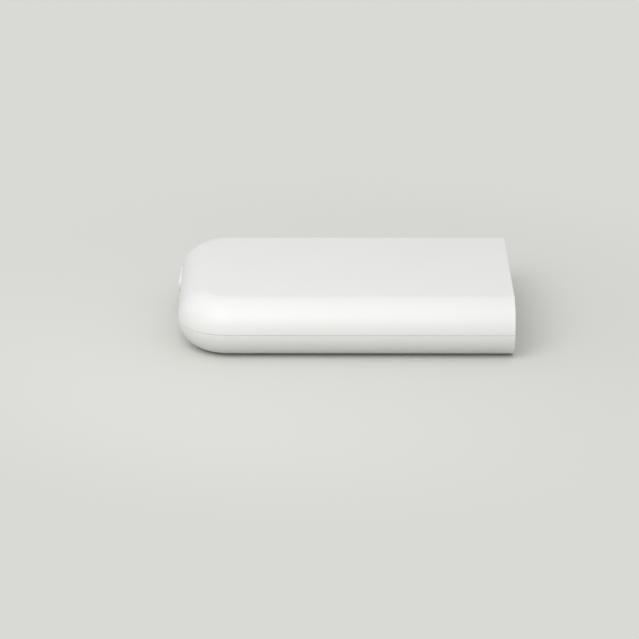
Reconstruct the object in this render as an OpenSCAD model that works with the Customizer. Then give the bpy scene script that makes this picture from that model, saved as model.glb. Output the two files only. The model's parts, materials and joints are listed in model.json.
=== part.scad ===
// Pocket photo printer for sheets of 50 x 76 mm, with a heat-printing engine
// The flat end with the photo slot faces +X and the round end faces -X
// It rests on Z = 0 and is centred on X = 0, Y = 0

/* [Case] */
// Length of the case without the button
case_l = 123.3; // [123:0.1:140]
// Width of the case
case_w = 85.3; // [85:0.1:100]
// Height of the case without the feet
case_h = 22; // [22:0.1:26]
// Radius of the two corners of the round end, seen from above
corner_r = 19; // [16:0.5:24]
// Thickness of the case walls
wall = 1.8; // [1.4:0.1:2]
// Height of the seam above the underside of the case
seam_h = 10.3; // [9.5:0.1:11]
// Width of the seam between cover and base
seam_gap = 0.25; // [0.2:0.05:0.4]

/* [Feet] */
// Diameter of a rubber foot
foot_d = 6.4; // [4:0.2:8]
// Height of a foot below the case
foot_h = 0.3; // [0.3:0.1:0.8]
// Depth of the recess that holds a foot
foot_recess = 0.6; // [0.4:0.1:0.8]
// Distance from each end of the case to the centres of the feet
foot_end = 21.65; // [18:0.05:30]
// Distance from each side of the case to the centres of the feet
foot_side = 16.65; // [15.6:0.05:22]

/* [Button] */
// Length of the power button
button_l = 16; // [12:0.5:18]
// Height of the power button
button_h = 6.4; // [5.5:0.1:7]
// How far the button stands out of the case
button_out = 0.7; // [0.5:0.1:1.2]
// Distance from the start of the rounded corner back to the centre of the button
button_in = 7.15; // [6:0.05:12]
// Centre of the button above the middle height of the case
button_rise = 0.2; // [0:0.1:0.5]
// Gap round the button in its opening
button_gap = 0.25; // [0.2:0.05:0.4]
// Thickness of the flange that keeps the button in
button_flange = 0.8; // [0.6:0.1:1]

/* [Socket, lamp and reset] */
// Width of the charging socket
usb_w = 7.6; // [7:0.1:9]
// Height of the charging socket
usb_h = 2.7; // [2.6:0.1:3.2]
// Length of the charging socket
usb_l = 5.6; // [5:0.1:7]
// Sheet thickness of the charging socket
usb_wall = 0.35; // [0.3:0.05:0.5]
// Centre of the charging socket across the case
usb_y = -10; // [-14:0.5:-8]
// Gap between the socket and its opening in the base
usb_gap = 0.3; // [0.2:0.05:0.4]
// Diameter of the light pipe
lamp_d = 1.6; // [1.2:0.1:2]
// Centre of the light pipe across the case
lamp_y = 2; // [0:0.5:4]
// Diameter of the pinhole over the reset switch
reset_d = 1.1; // [0.8:0.1:1.4]
// Centre of the reset pinhole across the case
reset_y = -20; // [-22:0.5:-18]

/* [Paper] */
// Room between the round end of the case and the sheets
end_room = 24.9; // [24.6:0.1:27]
// Distance from each end of the platen roller in to the edge of a sheet
sheet_inset = 1; // [0.8:0.1:2]
// Height of the case above the sheet path
roof_room = 7.2; // [7:0.1:7.4]
// Free space beside the sheets on each side
bay_gap = 0.6; // [0.4:0.1:0.8]
// Gap for one sheet under the gate, and at the head and the pinch rollers
sheet_gap = 0.3; // [0.3:0.02:0.5]
// Thickness of the deck under the sheets
deck_t = 1.2; // [1:0.1:1.5]
// Height of the walls round the sheets above the deck
bay_h = 3.4; // [3:0.1:4]
// Thickness of the walls round the sheets
bay_wall = 1.2; // [1:0.1:1.5]
// Width of the free way between the two rear stops
rear_way = 34.4; // [34:0.2:38]

/* [Rollers] */
// Diameter of the pick-up rollers
pickup_d = 9; // [8.6:0.1:9.2]
// Diameter of the platen roller
platen_d = 8.4; // [8:0.1:8.8]
// Diameter of the exit rollers
exit_d = 5; // [4.6:0.1:5.2]
// Diameter of the pinch rollers
pinch_d = 4; // [3.6:0.1:4.2]
// Diameter of the three driven shafts
shaft_d = 2.5; // [2:0.1:3]
// Diameter of the pinch shaft
pinch_shaft_d = 1.5; // [1.2:0.1:1.8]
// Distance from each side plate to the end of the platen roller
platen_room = 3.6; // [2.6:0.1:4.6]
// Width of one pick-up roller
pickup_l = 10; // [8:0.5:12]
// Distance between the two pick-up rollers, centre to centre
pickup_span = 20; // [18:0.5:24]
// Width of one exit roller and of one pinch roller
exit_l = 9; // [6:0.5:12]
// Distance between the two exit rollers, centre to centre
exit_span = 30; // [24:0.5:36]
// Exit roller axis, measured in from the flat end
exit_step = 6; // [5.8:0.1:6.5]
// Print line, measured in from the flat end
nip_step = 14.5; // [14.5:0.1:15]
// Pick-up axis, measured in from the flat end
pickup_step = 30.8; // [30.6:0.1:31.4]

/* [Gears] */
// Module of all the gears
gear_m = 0.4; // [0.38:0.01:0.41]
// Teeth of the platen gear
platen_teeth = 24; // [23:1:25]
// Teeth of the small step of the reduction gear
small_teeth = 12; // [12:1:13]
// Teeth of the large step of the reduction gear
large_teeth = 28; // [26:1:29]
// Teeth of the motor pinion
pinion_teeth = 10; // [10:1:12]
// Smallest number of teeth of an idler
idler_teeth = 16; // [16:1:17]
// Face width of the gears
gear_t = 2.4; // [2:0.1:2.5]
// Play between meshing teeth, measured at the pitch circle
backlash = 0.14; // [0.12:0.01:0.18]
// Diameter of the studs that carry the idlers
stud_d = 2; // [1.6:0.1:2.2]

/* [Engine frame] */
// Room beside each side plate for the gears, the rail and the case wall
gear_room = 13.05; // [12.7:0.05:13.2]
// Thickness of the sheet steel
sheet_t = 0.8; // [0.6:0.05:0.9]
// Outer diameter of the shaft bushes
bush_d = 4.4; // [4:0.1:4.6]
// Thickness of a bush flange
bush_flange = 0.6; // [0.4:0.1:0.8]
// Play on each side of a shaft in its bush
run_gap = 0.05; // [0.02:0.01:0.08]
// Play on each side of a piece that is pressed or screwed in
fit_gap = 0.02; // [0.01:0.01:0.03]

/* [Motor] */
// Diameter of the motor
motor_d = 10; // [9:0.1:10.4]
// Length of the motor
motor_l = 15.6; // [12:0.1:18]
// Diameter of the motor shaft
motor_shaft_d = 1.5; // [1.2:0.1:1.6]
// Motor axis below the axis of the reduction gear
motor_drop = 2.4; // [2:0.1:2.8]

/* [Head] */
// Distance from each side plate to the end of the heat sink
head_room = 2.4; // [2:0.1:3.6]
// Depth of the heat sink along the sheet
sink_l = 10.5; // [9.5:0.1:10.8]
// Thickness of the heat sink
sink_t = 1.9; // [1.8:0.05:2]
// Depth of the ceramic head along the sheet
ceramic_l = 6.6; // [5:0.1:7]
// Thickness of the ceramic head
ceramic_t = 0.7; // [0.6:0.05:0.8]
// Distance from the print line back to the pivot of the head
pivot_step = 4.1; // [3.9:0.1:4.2]
// Diameter of the pivot pins
head_pin_d = 1.2; // [1:0.05:1.3]
// Diameter of a head spring, outside
head_spring_d = 3.8; // [3.4:0.1:4]

/* [Pressure plate] */
// Width of the pressure plate
plate_w = 29; // [26:0.2:30]
// Thickness of the pressure plate
plate_t = 0.8; // [0.6:0.05:0.9]
// Distance from the pick-up axis back to the hinge of the plate
plate_reach = 31.2; // [29:0.2:32]
// Diameter of the hinge tube of the plate
plate_tube_d = 2.4; // [2.2:0.1:2.6]
// Diameter of the hinge pins of the plate
plate_pin_d = 1.2; // [1:0.05:1.3]
// Distance between the two plate springs
plate_spring_span = 16; // [14:0.5:18]
// Diameter of a plate spring, outside
plate_spring_d = 4.4; // [4:0.1:5]
// Diameter of the spring wire
wire_d = 0.4; // [0.3:0.05:0.5]

/* [Cover rails] */
// Thickness of the rail wall on the base
rail_t = 1.2; // [1:0.1:1.4]
// Distance from the outside of the case to the outer face of the rail wall
rail_in = 4.25; // [4.2:0.05:4.4]
// Depth of the rail groove
groove_d = 1.3; // [1.2:0.05:1.4]
// Thickness of the tongue on the cover
tongue_t = 1.2; // [1:0.05:1.3]
// Height of the tongue above the seam
tongue_rise = 1.7; // [1.6:0.05:1.9]
// Play above and below the tongue
tongue_gap = 0.15; // [0.1:0.05:0.2]

/* [Battery] */
// Length of the battery leads between the two boards
lead_l = 4.8; // [3:0.1:9]
// Room between the cells and the motor
cell_room = 1.8; // [1.2:0.1:4]
// Room beside the cells for the motor leads
side_room = 3.3; // [3:0.1:5]
// Thickness of a battery cell
cell_t = 6; // [5:0.2:8]
// Thickness of the foam under the cells
foam_t = 0.5; // [0.4:0.1:0.8]

/* [Boards] */
// Thickness of the main board
board_t = 1; // [0.8:0.1:1.2]
// Distance from the middle height of the case down to the main board
board_drop = 5.7; // [5.5:0.1:5.9]
// Depth of the main board along the case
board_l = 18.6; // [17:0.1:19]
// Distance from each side of the case in to the edge of the main board
board_side = 6.65; // [5.65:0.05:9]

/* [Screws] */
// Diameter of the screws through the deck
tray_screw_d = 1.6; // [1.4:0.05:1.8]
// Diameter of the screws of engine frame and main board
small_screw_d = 1.4; // [1.2:0.05:1.6]
// Height of the screw heads
screw_head_t = 0.8; // [0.6:0.1:1]

/* [Hidden] */
$fn = 64;

// Levels and ends of the case
side_r = case_h/2;
mid_z = foot_h + side_r;
floor_z = foot_h + wall;
ceiling_z = foot_h + case_h - wall;
seam_z = foot_h + seam_h;
exit_x = (case_l + button_out)/2;
round_x = exit_x - case_l;
side_y = case_w/2 - side_r;
corner_x = round_x + corner_r;
corner_y = case_w/2 - corner_r;
corner_reach = corner_r - side_r;
inner_r = side_r - wall;
beyond = 30;
root_depth = 0.2;
touch_gap = 0.3;
hole_gap = 0.1;

// Width of a sheet; at the sizes above the bay takes sheets of 50 x 76
frame_w = case_w - 2*gear_room;
platen_l = frame_w - 2*platen_room;
paper_w = platen_l - 2*sheet_inset;
gate_step = 6.9;
gate_x = exit_x - nip_step - gate_step;
bay_end = round_x + end_room;

// Sheet path and the bay for the sheets
path_z = foot_h + case_h - roof_room;
deck_lift = 0.1;
deck_top = path_z - deck_lift;
deck_z = deck_top - deck_t;
bay_y = paper_w/2 + bay_gap;
tray_y = case_w/2 - rail_in - rail_t - touch_gap;
bay_top = deck_top + bay_h;

// Roller axes in the XZ plane
pickup_at = [exit_x - pickup_step, path_z - pickup_d/2];
platen_at = [exit_x - nip_step, path_z - platen_d/2];
exit_at = [exit_x - exit_step, path_z - exit_d/2];
pinch_at = [exit_x - exit_step, path_z + sheet_gap + pinch_d/2];

// Engine frame
plate_y = frame_w/2;
plate_out = plate_y + sheet_t;
frame_z = floor_z + 0.8;
frame_low_top = deck_z - 0.2;
frame_top = path_z + 3.5;
frame_back = pickup_at[0] - 5.2;
frame_front = exit_x - 3.5;
bush_r = bush_d/2;
bush_proud = 0.2;
motor_boss_r = 2;

// Gear train
gear_y = plate_out + 0.6;
gear_end = gear_y + gear_t;
large_y = gear_end + 0.4;
large_end = large_y + gear_t - 0.2;
pickup_teeth = round(platen_teeth*pickup_d/platen_d);
exit_teeth = round(platen_teeth*exit_d/platen_d);
feed_idler_teeth = max(idler_teeth, idler_fill(platen_at, pickup_at, platen_teeth, pickup_teeth) + 2);
exit_idler_teeth = max(idler_teeth, idler_fill(platen_at, exit_at, platen_teeth, exit_teeth));
feed_idler_at = meet(platen_at, pickup_at, span(platen_teeth, feed_idler_teeth),
  span(pickup_teeth, feed_idler_teeth), 1);
exit_idler_at = meet(platen_at, exit_at, span(platen_teeth, exit_idler_teeth),
  span(exit_teeth, exit_idler_teeth), -1);
reduction_drop = 0.4;
reduction_at = drop_back(pickup_at, span(pickup_teeth, small_teeth), reduction_drop);
motor_at = drop_back(reduction_at, span(large_teeth, pinion_teeth), motor_drop);
feed_phase = mesh_phase(platen_teeth, 0, platen_at, feed_idler_teeth, feed_idler_at);
pickup_phase = mesh_phase(feed_idler_teeth, feed_phase, feed_idler_at, pickup_teeth, pickup_at);
small_phase = mesh_phase(pickup_teeth, pickup_phase, pickup_at, small_teeth, reduction_at);
pinion_phase = mesh_phase(large_teeth, 0, reduction_at, pinion_teeth, motor_at);
exit_idler_phase = mesh_phase(platen_teeth, 0, platen_at, exit_idler_teeth, exit_idler_at);
exit_phase = mesh_phase(exit_idler_teeth, exit_idler_phase, exit_idler_at, exit_teeth, exit_at);
stud_r = stud_d/2;
rivet_r = stud_r - 0.2;
clip_t = 0.4;
clip_r = stud_r + 0.7;

// Print head
head_w = frame_w - 2*head_room;
head_z = path_z + sheet_gap;
sink_z = head_z + ceramic_t;
sink_top = sink_z + sink_t;
head_pivot = [platen_at[0] - pivot_step, sink_z + sink_t/2];
sink_x = head_pivot[0] - 0.9;
head_spring_x = platen_at[0] + 2;
head_spring_span = 36;
spring_pocket = 1.2;
bridge_z = ceiling_z - 1.2;
bridge_x = [head_spring_x - 4, head_spring_x + 3.4];

// Pressure plate, drawn with its front resting just above the pick-up rollers
plate_z = path_z + touch_gap;
plate_hinge = [pickup_at[0] - plate_reach, ceiling_z - 1.4];
ear_t = 1.6;
ear_y = plate_w/2 + 0.3;
tube_r = plate_tube_d/2;

// Rails
rail_y = case_w/2 - rail_in;
rail_x = [corner_x + 12.3, exit_x - 4.8];
tongue_z = seam_z + tongue_rise;
groove_z = tongue_z - tongue_gap;
groove_top = tongue_z + tongue_t + tongue_gap;
rail_low = seam_z + 0.4;
rail_top = groove_top + 1.05;
rail_stop = 1.6;

// Main board and what stands on it
board_z = mid_z - board_drop;
board_top = board_z + board_t;
board_w = case_w - 2*board_side;
board_edge_r = sqrt(pow(side_r - wall, 2) - pow(mid_z - board_z, 2)) - touch_gap;
board_x = round_x + side_r - board_edge_r;
board_end = board_x + board_l;
usb_z = board_top;
usb_x = round_x + 1.2;
switch_x = board_x + 0.6;
switch_l = 3.4;
switch_h = 3;
plunger_l = 0.8;
plunger_r = 0.9;
plunger_z = board_top + switch_h/2;
lamp_z = board_top + 1;
button_y = corner_y - button_in;
button_z = mid_z + button_rise;
stem_t = 2.2;
stem_z = plunger_z - stem_t/2;
stem_x = round_x + side_r - sqrt(inner_r*inner_r - pow(mid_z - stem_z, 2)) + touch_gap;
pin_r = 0.6;

// Battery, which fills the floor between the main board and the motor
pack_board_t = 1.3;
battery_x = board_end + lead_l + pack_board_t + hole_gap;
battery_z = floor_z + foam_t;
cell_gap = 0.6;
cell_l = motor_at[0] - motor_d/2 - cell_room - battery_x;
cell_w = plate_y - side_room - cell_gap/2;
battery_lead_y = -cell_w/5;
motor_lead_y = plate_y - 0.8;
lead_step = 1.2;
pad_in = 2;
rib_t = 0.9;
rib_w = 6;

// Screws and the bosses that they go into
tray_boss_r = 2.8;
frame_boss_r = 2.4;
board_boss_r = 2;
boss_y = plate_out + 0.4 + tray_boss_r;
boss_x = board_end + tray_boss_r + 0.5;
tray_screws_at = [[boss_x, boss_y], [boss_x, -boss_y],
  [motor_at[0] - motor_d/2 - 3.4, boss_y], [gate_x - 2.6, -boss_y]];
frame_screw_y = plate_y - 3.6;
frame_screws_at = [[pickup_at[0] - 1.2, -frame_screw_y], [pickup_at[0] - 1.2, frame_screw_y],
  [exit_at[0] - 1, 0]];
board_screw_y = board_w*0.38;
board_screws_at = [[board_x + 7.2, -board_screw_y], [board_x + 7.2, board_screw_y],
  [board_end - 3, board_w/9]];
tray_screw_l = deck_t + 4.6;
frame_screw_l = sheet_t + 1.4;
board_screw_l = board_t + 2.2;
bore_rest = 0.2;

// End wall with the slot, and its hooks and their catches
bezel_t = 2;
bezel_in = 0.4;
bezel_x = exit_x - bezel_in - bezel_t;
hook_x = bezel_x - 2;
hook_y = [plate_out + 3.9, plate_out + 5.9];
hook_z = [mid_z - 5.3, mid_z - 4.1];
catch_x = [hook_x - touch_gap - 1, hook_x - touch_gap];
slot_w = paper_w + 4;
slot_h = 2.6;
slot_z = path_z + sheet_gap/2;

// Brake springs in the rails
brake_x = [pickup_at[0] - 14, pickup_at[0] - 2];

// Flat cable of the head
cable_t = 0.15;
cable_x = [platen_at[0] + 3, platen_at[0] + 6.2];
cable_z = sink_z + 0.9;
cable_low = [frame_z + 0.3, frame_z + 4.7];
cable_y = -plate_out - 0.13;

// Connectors on the main board
plug_l = 3.2;
plug_w = 5;
plug_h = 1.8*board_t;

function span(a, b) = gear_m*(a + b)/2;
function idler_fill(a, b, ta, tb) = ceil(norm(b - a)/gear_m - (ta + tb)/2);
// Point at distance ra from a and rb from b, on the chosen side of the line a to b
function meet(a, b, ra, rb, side) = let(
    d = norm(b - a),
    along = (ra*ra - rb*rb + d*d)/(2*d),
    across = sqrt(ra*ra - along*along),
    u = (b - a)/d)
  a + along*u + side*across*[-u[1], u[0]];
// Point at distance d from a, lower by drop and toward -X
function drop_back(a, d, drop) = [a[0] - sqrt(d*d - drop*drop), a[1] - drop];
function angle_to(a, b) = atan2(b[1] - a[1], b[0] - a[0]);
// Turn of gear b that puts its gap where gear a has a tooth
function mesh_phase(ta, phase_a, a, tb, b) =
  angle_to(a, b) + 180 - (360/tb)*(0.5 - (angle_to(a, b) - phase_a)*ta/360);
function involute(a) = tan(a)*180/PI - a;
// Half the angle of a tooth at radius r
function half_tooth(teeth, r) = let(
    pitch_r = gear_m*teeth/2,
    base_r = pitch_r*cos(20))
  (90/teeth - backlash/4/pitch_r*180/PI + involute(20) - involute(acos(min(1, base_r/r))))
  *(r < base_r ? 0.85 : 1);
function gear_outline(teeth) = let(
    pitch_r = gear_m*teeth/2,
    root_r = pitch_r - 1.2*gear_m,
    tip_r = pitch_r + 0.9*gear_m,
    base_r = max(pitch_r*cos(20), root_r + 0.15*gear_m),
    radii = [root_r, base_r, (base_r + pitch_r)/2, pitch_r, (pitch_r + tip_r)/2, tip_r])
  [for (k = [0:teeth - 1], s = [-1, 1], i = [0:5])
    let(
      r = radii[s < 0 ? i : 5 - i],
      a = k*360/teeth + s*half_tooth(teeth, r))
    r*[cos(a), sin(a)]];

// Block between two opposite corners
module block(lo, hi) {
  translate(lo) cube(hi - lo);
}

// Round bar along Y
module bar_y(at, r, y0, y1) {
  translate([at[0], y0, at[1]]) rotate([-90, 0, 0]) cylinder(r = r, h = y1 - y0);
}

// Round bar along X at the given Y and Z
module bar_x(at, r, x0, x1) {
  translate([x0, at[0], at[1]]) rotate([0, 90, 0]) cylinder(r = r, h = x1 - x0);
}

// Round bar along Z at the given X and Y
module bar_z(at, r, z0, z1) {
  translate([at[0], at[1], z0]) cylinder(r = r, h = z1 - z0);
}

// Profile in the XZ plane, extruded along Y
module profile_y(y0, y1) {
  translate([0, y1, 0]) rotate([90, 0, 0]) linear_extrude(y1 - y0) children();
}

// Profile in the YZ plane, extruded along X
module profile_x(x0, x1) {
  translate([x0, 0, 0]) rotate([90, 0, 90]) linear_extrude(x1 - x0) children();
}

module rounded_plate(lo, hi, r) {
  translate([lo[0] + r, lo[1]]) square([hi[0] - lo[0] - 2*r, hi[1] - lo[1]]);
  translate([lo[0], lo[1] + r]) square([hi[0] - lo[0], hi[1] - lo[1] - 2*r]);
  for (x = [lo[0] + r, hi[0] - r], y = [lo[1] + r, hi[1] - r]) translate([x, y]) circle(r);
}

// Cross-section of the case with fully round sides
module stadium(r) {
  translate([-side_y, -r]) square([2*side_y, 2*r]);
  for (s = [-1, 1]) translate([s*side_y, 0]) circle(r);
}

// Half section of the round end, straight inside and half round outside
module nose(r) {
  intersection() {
    union() {
      translate([0, -r]) square([corner_reach, 2*r]);
      translate([corner_reach, 0]) circle(r);
    }
    translate([0, -r]) square([corner_reach + r, 2*r]);
  }
}

// Whole outer form of the case, set in by inset, out to x1 at the flat end
module case_form(inset, x1) {
  r = side_r - inset;
  translate([corner_x, 0, mid_z]) rotate([90, 0, 90]) linear_extrude(x1 - corner_x) stadium(r);
  translate([corner_x, corner_y, mid_z]) rotate([90, 0, 0]) linear_extrude(2*corner_y)
    mirror([1, 0]) nose(r);
  for (s = [0, 1]) translate([corner_x, (1 - 2*s)*corner_y, mid_z])
    rotate([0, 0, 90 + 90*s]) rotate_extrude(angle = 90) nose(r);
}

module shell_between(z0, z1) {
  difference() {
    intersection() {
      case_form(0, exit_x);
      block([round_x - beyond, -case_w, z0], [exit_x + beyond, case_w, z1]);
    }
    case_form(wall, exit_x + 1);
  }
}

// Outline of the power button, larger by grow
module button_outline(grow) {
  r = button_h/2 + grow;
  half = (button_l - button_h)/2;
  translate([button_y, button_z]) {
    translate([-half, -r]) square([2*half, 2*r]);
    for (s = [-1, 1]) translate([s*half, 0]) circle(r);
  }
}

// Cross-section of the rail on the base, on the +Y side
module rail_section() {
  difference() {
    union() {
      translate([rail_y - rail_t, floor_z + 1.2]) square([rail_t, rail_top - floor_z - 1.2]);
      translate([rail_y - rail_t, rail_low]) square([rail_t + groove_d, rail_top - rail_low]);
    }
    translate([rail_y, groove_z]) square([groove_d + 1, groove_top - groove_z]);
  }
}

// Coil spring standing on z0, one unbroken wire with open ends
module coil(mean_r, z0, z1, turns) {
  steps = round(14*turns);
  sides = 6;
  wire_r = wire_d/2;
  rise = z1 - z0 - 2*wire_r;
  points = [for (i = [0:steps], j = [0:sides - 1])
    let(
      a = 360*turns*i/steps,
      b = 360*j/sides,
      r = mean_r + wire_r*cos(b))
    [r*cos(a), r*sin(a), z0 + wire_r + rise*i/steps + wire_r*sin(b)]];
  sleeve = [for (i = [0:steps - 1], j = [0:sides - 1], half = [0, 1])
    let(
      p = i*sides + j,
      q = i*sides + (j + 1)%sides)
    half == 0 ? [p, q, p + sides] : [q, q + sides, p + sides]];
  first_end = [for (j = [1:sides - 2]) [0, j + 1, j]];
  last = steps*sides;
  last_end = [for (j = [1:sides - 2]) [last, last + j, last + j + 1]];
  polyhedron(points, concat(sleeve, first_end, last_end));
}

module gear(teeth, at, y0, y1, phase) {
  translate([at[0], y1, at[1]]) rotate([90, 0, 0]) linear_extrude(y1 - y0)
    rotate(phase) polygon(gear_outline(teeth));
}

// Gear with a hub toward the side plate and a bore for its shaft
module shaft_gear(teeth, at, phase) {
  difference() {
    gear(teeth, at, gear_y, gear_end, phase);
    bar_y(at, shaft_d/2 + fit_gap, gear_y - 1, gear_end + 1);
  }
}

module idler_gear(teeth, at, phase) {
  difference() {
    gear(teeth, at, gear_y, gear_end, phase);
    bar_y(at, stud_r + run_gap, gear_y - 1, gear_end + 1);
  }
}

module driven_shaft(at) {
  bar_y(at, shaft_d/2, -plate_out - 0.6, gear_end);
}

module sleeve(at, d, y0, y1) {
  difference() {
    bar_y(at, d/2, y0, y1);
    bar_y(at, shaft_d/2 + fit_gap, y0 - 1, y1 + 1);
  }
}

module screw(at, d, z, depth) {
  bar_z(at, d/2, z - depth, z + screw_head_t/2);
  bar_z(at, d*1.1, z, z + screw_head_t);
}

module boss(at, r, top, d, depth) {
  difference() {
    bar_z(at, r, floor_z - root_depth, top);
    bar_z(at, d/2 + fit_gap, top - depth - bore_rest, top + 1);
  }
}

module top_cover() color("white") {
  difference() {
    shell_between(seam_z + seam_gap/2, mid_z + case_h);
    profile_x(round_x - beyond, corner_x) button_outline(button_gap);
  }
  for (s = [-1, 1]) {
    // tongue that runs in the rail
    block([rail_x[0] + 1, min(s*(rail_y + touch_gap), s*(case_w/2 - wall/2)), tongue_z],
      [rail_x[1] - rail_stop - touch_gap, max(s*(rail_y + touch_gap), s*(case_w/2 - wall/2)),
        tongue_z + tongue_t]);
    // ear for a hinge pin of the pressure plate
    difference() {
      union() {
        bar_y(plate_hinge, tube_r + 0.05, s*ear_y + (s < 0 ? -ear_t : 0), s*ear_y + (s < 0 ? 0 : ear_t));
        block([plate_hinge[0] - tube_r, s*ear_y + (s < 0 ? -ear_t : 0), plate_hinge[1]],
          [plate_hinge[0] + tube_r, s*ear_y + (s < 0 ? 0 : ear_t), ceiling_z + root_depth]);
      }
      bar_y(plate_hinge, plate_pin_d/2 + fit_gap, s*ear_y - 2*ear_t, s*ear_y + 2*ear_t);
    }
    // spigot inside a plate spring
    bar_z([pickup_at[0], s*plate_spring_span/2], plate_spring_d/2 - wire_d - 0.2,
      ceiling_z - 1, ceiling_z + root_depth);
  }
}

module base_shell() color("white") {
  difference() {
    union() {
      shell_between(foot_h - 1, seam_z - seam_gap/2);
      for (s = [0, 1]) mirror([0, s, 0]) {
        difference() {
          union() {
            profile_x(rail_x[0], rail_x[1]) rail_section();
            block([rail_x[1] - rail_stop, rail_y - 0.1, rail_low],
              [rail_x[1], rail_y + groove_d, rail_top]);
          }
          // pocket for a brake spring
          block([brake_x[0] - 0.3, rail_y - 0.7, groove_z], [brake_x[1] + 0.3, rail_y + 1, groove_top]);
        }
        // catch for a hook of the bezel
        block([catch_x[0], hook_y[0], floor_z + 0.8], [catch_x[1], hook_y[1], hook_z[1] + 0.8]);
      }
      for (at = tray_screws_at) boss(at, tray_boss_r, deck_z, tray_screw_d, tray_screw_l - deck_t);
      for (at = board_screws_at) boss(at, board_boss_r, board_z, small_screw_d, board_screw_l - board_t);
      for (at = frame_screws_at) bar_z(at, frame_boss_r, floor_z - root_depth, frame_z);
      // ribs that hold the battery
      for (x = [battery_x - pack_board_t - 0.5 - rib_t, battery_x + cell_l + touch_gap], s = [-1, 1])
        block([x, s*cell_w*0.58 - rib_w/2, floor_z - root_depth],
          [x + rib_t, s*cell_w*0.58 + rib_w/2, battery_z + 2]);
    }
    for (at = frame_screws_at)
      bar_z(at, small_screw_d/2 + fit_gap, frame_z + sheet_t - frame_screw_l - bore_rest, frame_z + 1);
    foot_places() cylinder(d = foot_d + 2*fit_gap, h = 2*foot_recess, center = true);
    profile_x(round_x - beyond, round_x + 4.6) button_outline(button_gap);
    block([round_x - 1, usb_y - usb_w/2 - usb_gap, usb_z - usb_gap],
      [round_x + 3.4, usb_y + usb_w/2 + usb_gap, usb_z + usb_h + usb_gap]);
    bar_x([lamp_y, lamp_z], lamp_d/2 + run_gap, round_x - 1, round_x + 4);
    bar_x([reset_y, plunger_z], reset_d/2, round_x - 1, round_x + 4);
  }
}

// Centres of the feet on the underside of the case
module foot_places() {
  for (x = [-1, 1], y = [-1, 1])
    translate([x*(case_l/2 - foot_end), y*(case_w/2 - foot_side), foot_h]) children();
}

// End wall of the flat end, with the slot for the photo and two hooks
module exit_bezel() color("whitesmoke") {
  difference() {
    translate([0, 0, mid_z]) profile_x(bezel_x, bezel_x + bezel_t) stadium(inner_r - touch_gap);
    profile_x(bezel_x - 1, exit_x) rounded_plate([-slot_w/2, slot_z - slot_h/2],
      [slot_w/2, slot_z + slot_h/2], slot_h/2 - 0.1);
  }
  for (s = [0, 1]) mirror([0, s, 0])
    block([hook_x, hook_y[0], hook_z[0]], [bezel_x + 0.5, hook_y[1], hook_z[1]]);
}

// Cap that follows the case, with a flange behind the wall and a stem to the switch
module power_button() color("white") {
  intersection() {
    difference() {
      case_form(-button_out, corner_x + 1);
      case_form(wall + 1.4, exit_x);
    }
    profile_x(round_x - beyond, round_x + 5) button_outline(0);
  }
  intersection() {
    difference() {
      case_form(wall + touch_gap, corner_x + 1);
      case_form(wall + touch_gap + button_flange, exit_x);
    }
    profile_x(round_x - beyond, round_x + 5) button_outline(0.8);
    // the pressure plate passes over the flange as the cover comes off
    block([round_x - beyond, -case_w, foot_h], [corner_x, case_w, plate_z - touch_gap]);
  }
  block([stem_x, button_y - 2, stem_z], [switch_x - plunger_l, button_y + 2, stem_z + stem_t]);
}

module switch_plunger() color("dimgray")
  bar_x([button_y, plunger_z], plunger_r, switch_x - plunger_l, switch_x + 0.6);

module power_switch() color("gainsboro") difference() {
  block([switch_x, button_y - 3, board_top], [switch_x + switch_l, button_y + 3, board_top + switch_h]);
  bar_x([button_y, plunger_z], plunger_r + run_gap, switch_x - 1, switch_x + 1.4);
}

module usb_socket() color("silver") difference() {
  profile_x(usb_x, usb_x + usb_l)
    rounded_plate([usb_y - usb_w/2, usb_z], [usb_y + usb_w/2, usb_z + usb_h], 0.5);
  profile_x(usb_x - 1, usb_x + usb_l - usb_wall)
    rounded_plate([usb_y - usb_w/2 + usb_wall, usb_z + usb_wall],
      [usb_y + usb_w/2 - usb_wall, usb_z + usb_h - usb_wall], 0.3);
}

module usb_tongue() color("black")
  block([usb_x + 0.9, usb_y - usb_w/2 + 1.5, usb_z + usb_h/2 - 0.1],
    [usb_x + usb_l - usb_wall, usb_y + usb_w/2 - 1.5, usb_z + usb_h/2 + 0.5]);

module light_pipe() color("ivory") intersection() {
  bar_x([lamp_y, lamp_z], lamp_d/2, round_x - 1, switch_x + 1.9);
  case_form(0.05, exit_x);
}

module status_lamp() color("lightyellow")
  block([switch_x + 2, lamp_y - 0.9, board_top], [switch_x + 3.4, lamp_y + 0.9, lamp_z + 0.7]);

module reset_plunger() color("dimgray")
  bar_x([reset_y, plunger_z], pin_r, switch_x - 0.7, switch_x + 0.6);

module reset_switch() color("gainsboro") difference() {
  block([switch_x, reset_y - 2, board_top], [switch_x + switch_l, reset_y + 2, board_top + switch_h - 0.4]);
  bar_x([reset_y, plunger_z], pin_r + run_gap, switch_x - 1, switch_x + 1.1);
}

module main_board() color("seagreen") difference() {
  translate([0, 0, board_z]) linear_extrude(board_t) intersection() {
    union() {
      for (s = [-1, 1]) translate([corner_x, s*corner_y]) circle(corner_reach + board_edge_r);
      translate([board_x, -corner_y]) square([board_l, 2*corner_y]);
      translate([corner_x, -board_w/2]) square([board_end - corner_x, board_w]);
    }
    translate([board_x, -board_w/2]) square([board_l, board_w]);
  }
  for (at = board_screws_at) bar_z(at, small_screw_d/2 + hole_gap, board_z - 1, board_top + 1);
}

// Block on the main board from x to x1 and y to y1, which are shares of its length and half width
module on_board(x, x1, y, y1, h) {
  block([board_x + x*board_l, y*board_w/2, board_top],
    [board_x + x1*board_l, y1*board_w/2, board_top + h]);
}

// Connector at the inner edge of the main board, round the leads at y
module plug(y) {
  block([board_end - plug_l, y - plug_w/2, board_top], [board_end, y + plug_w/2, board_top + plug_h]);
}

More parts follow.
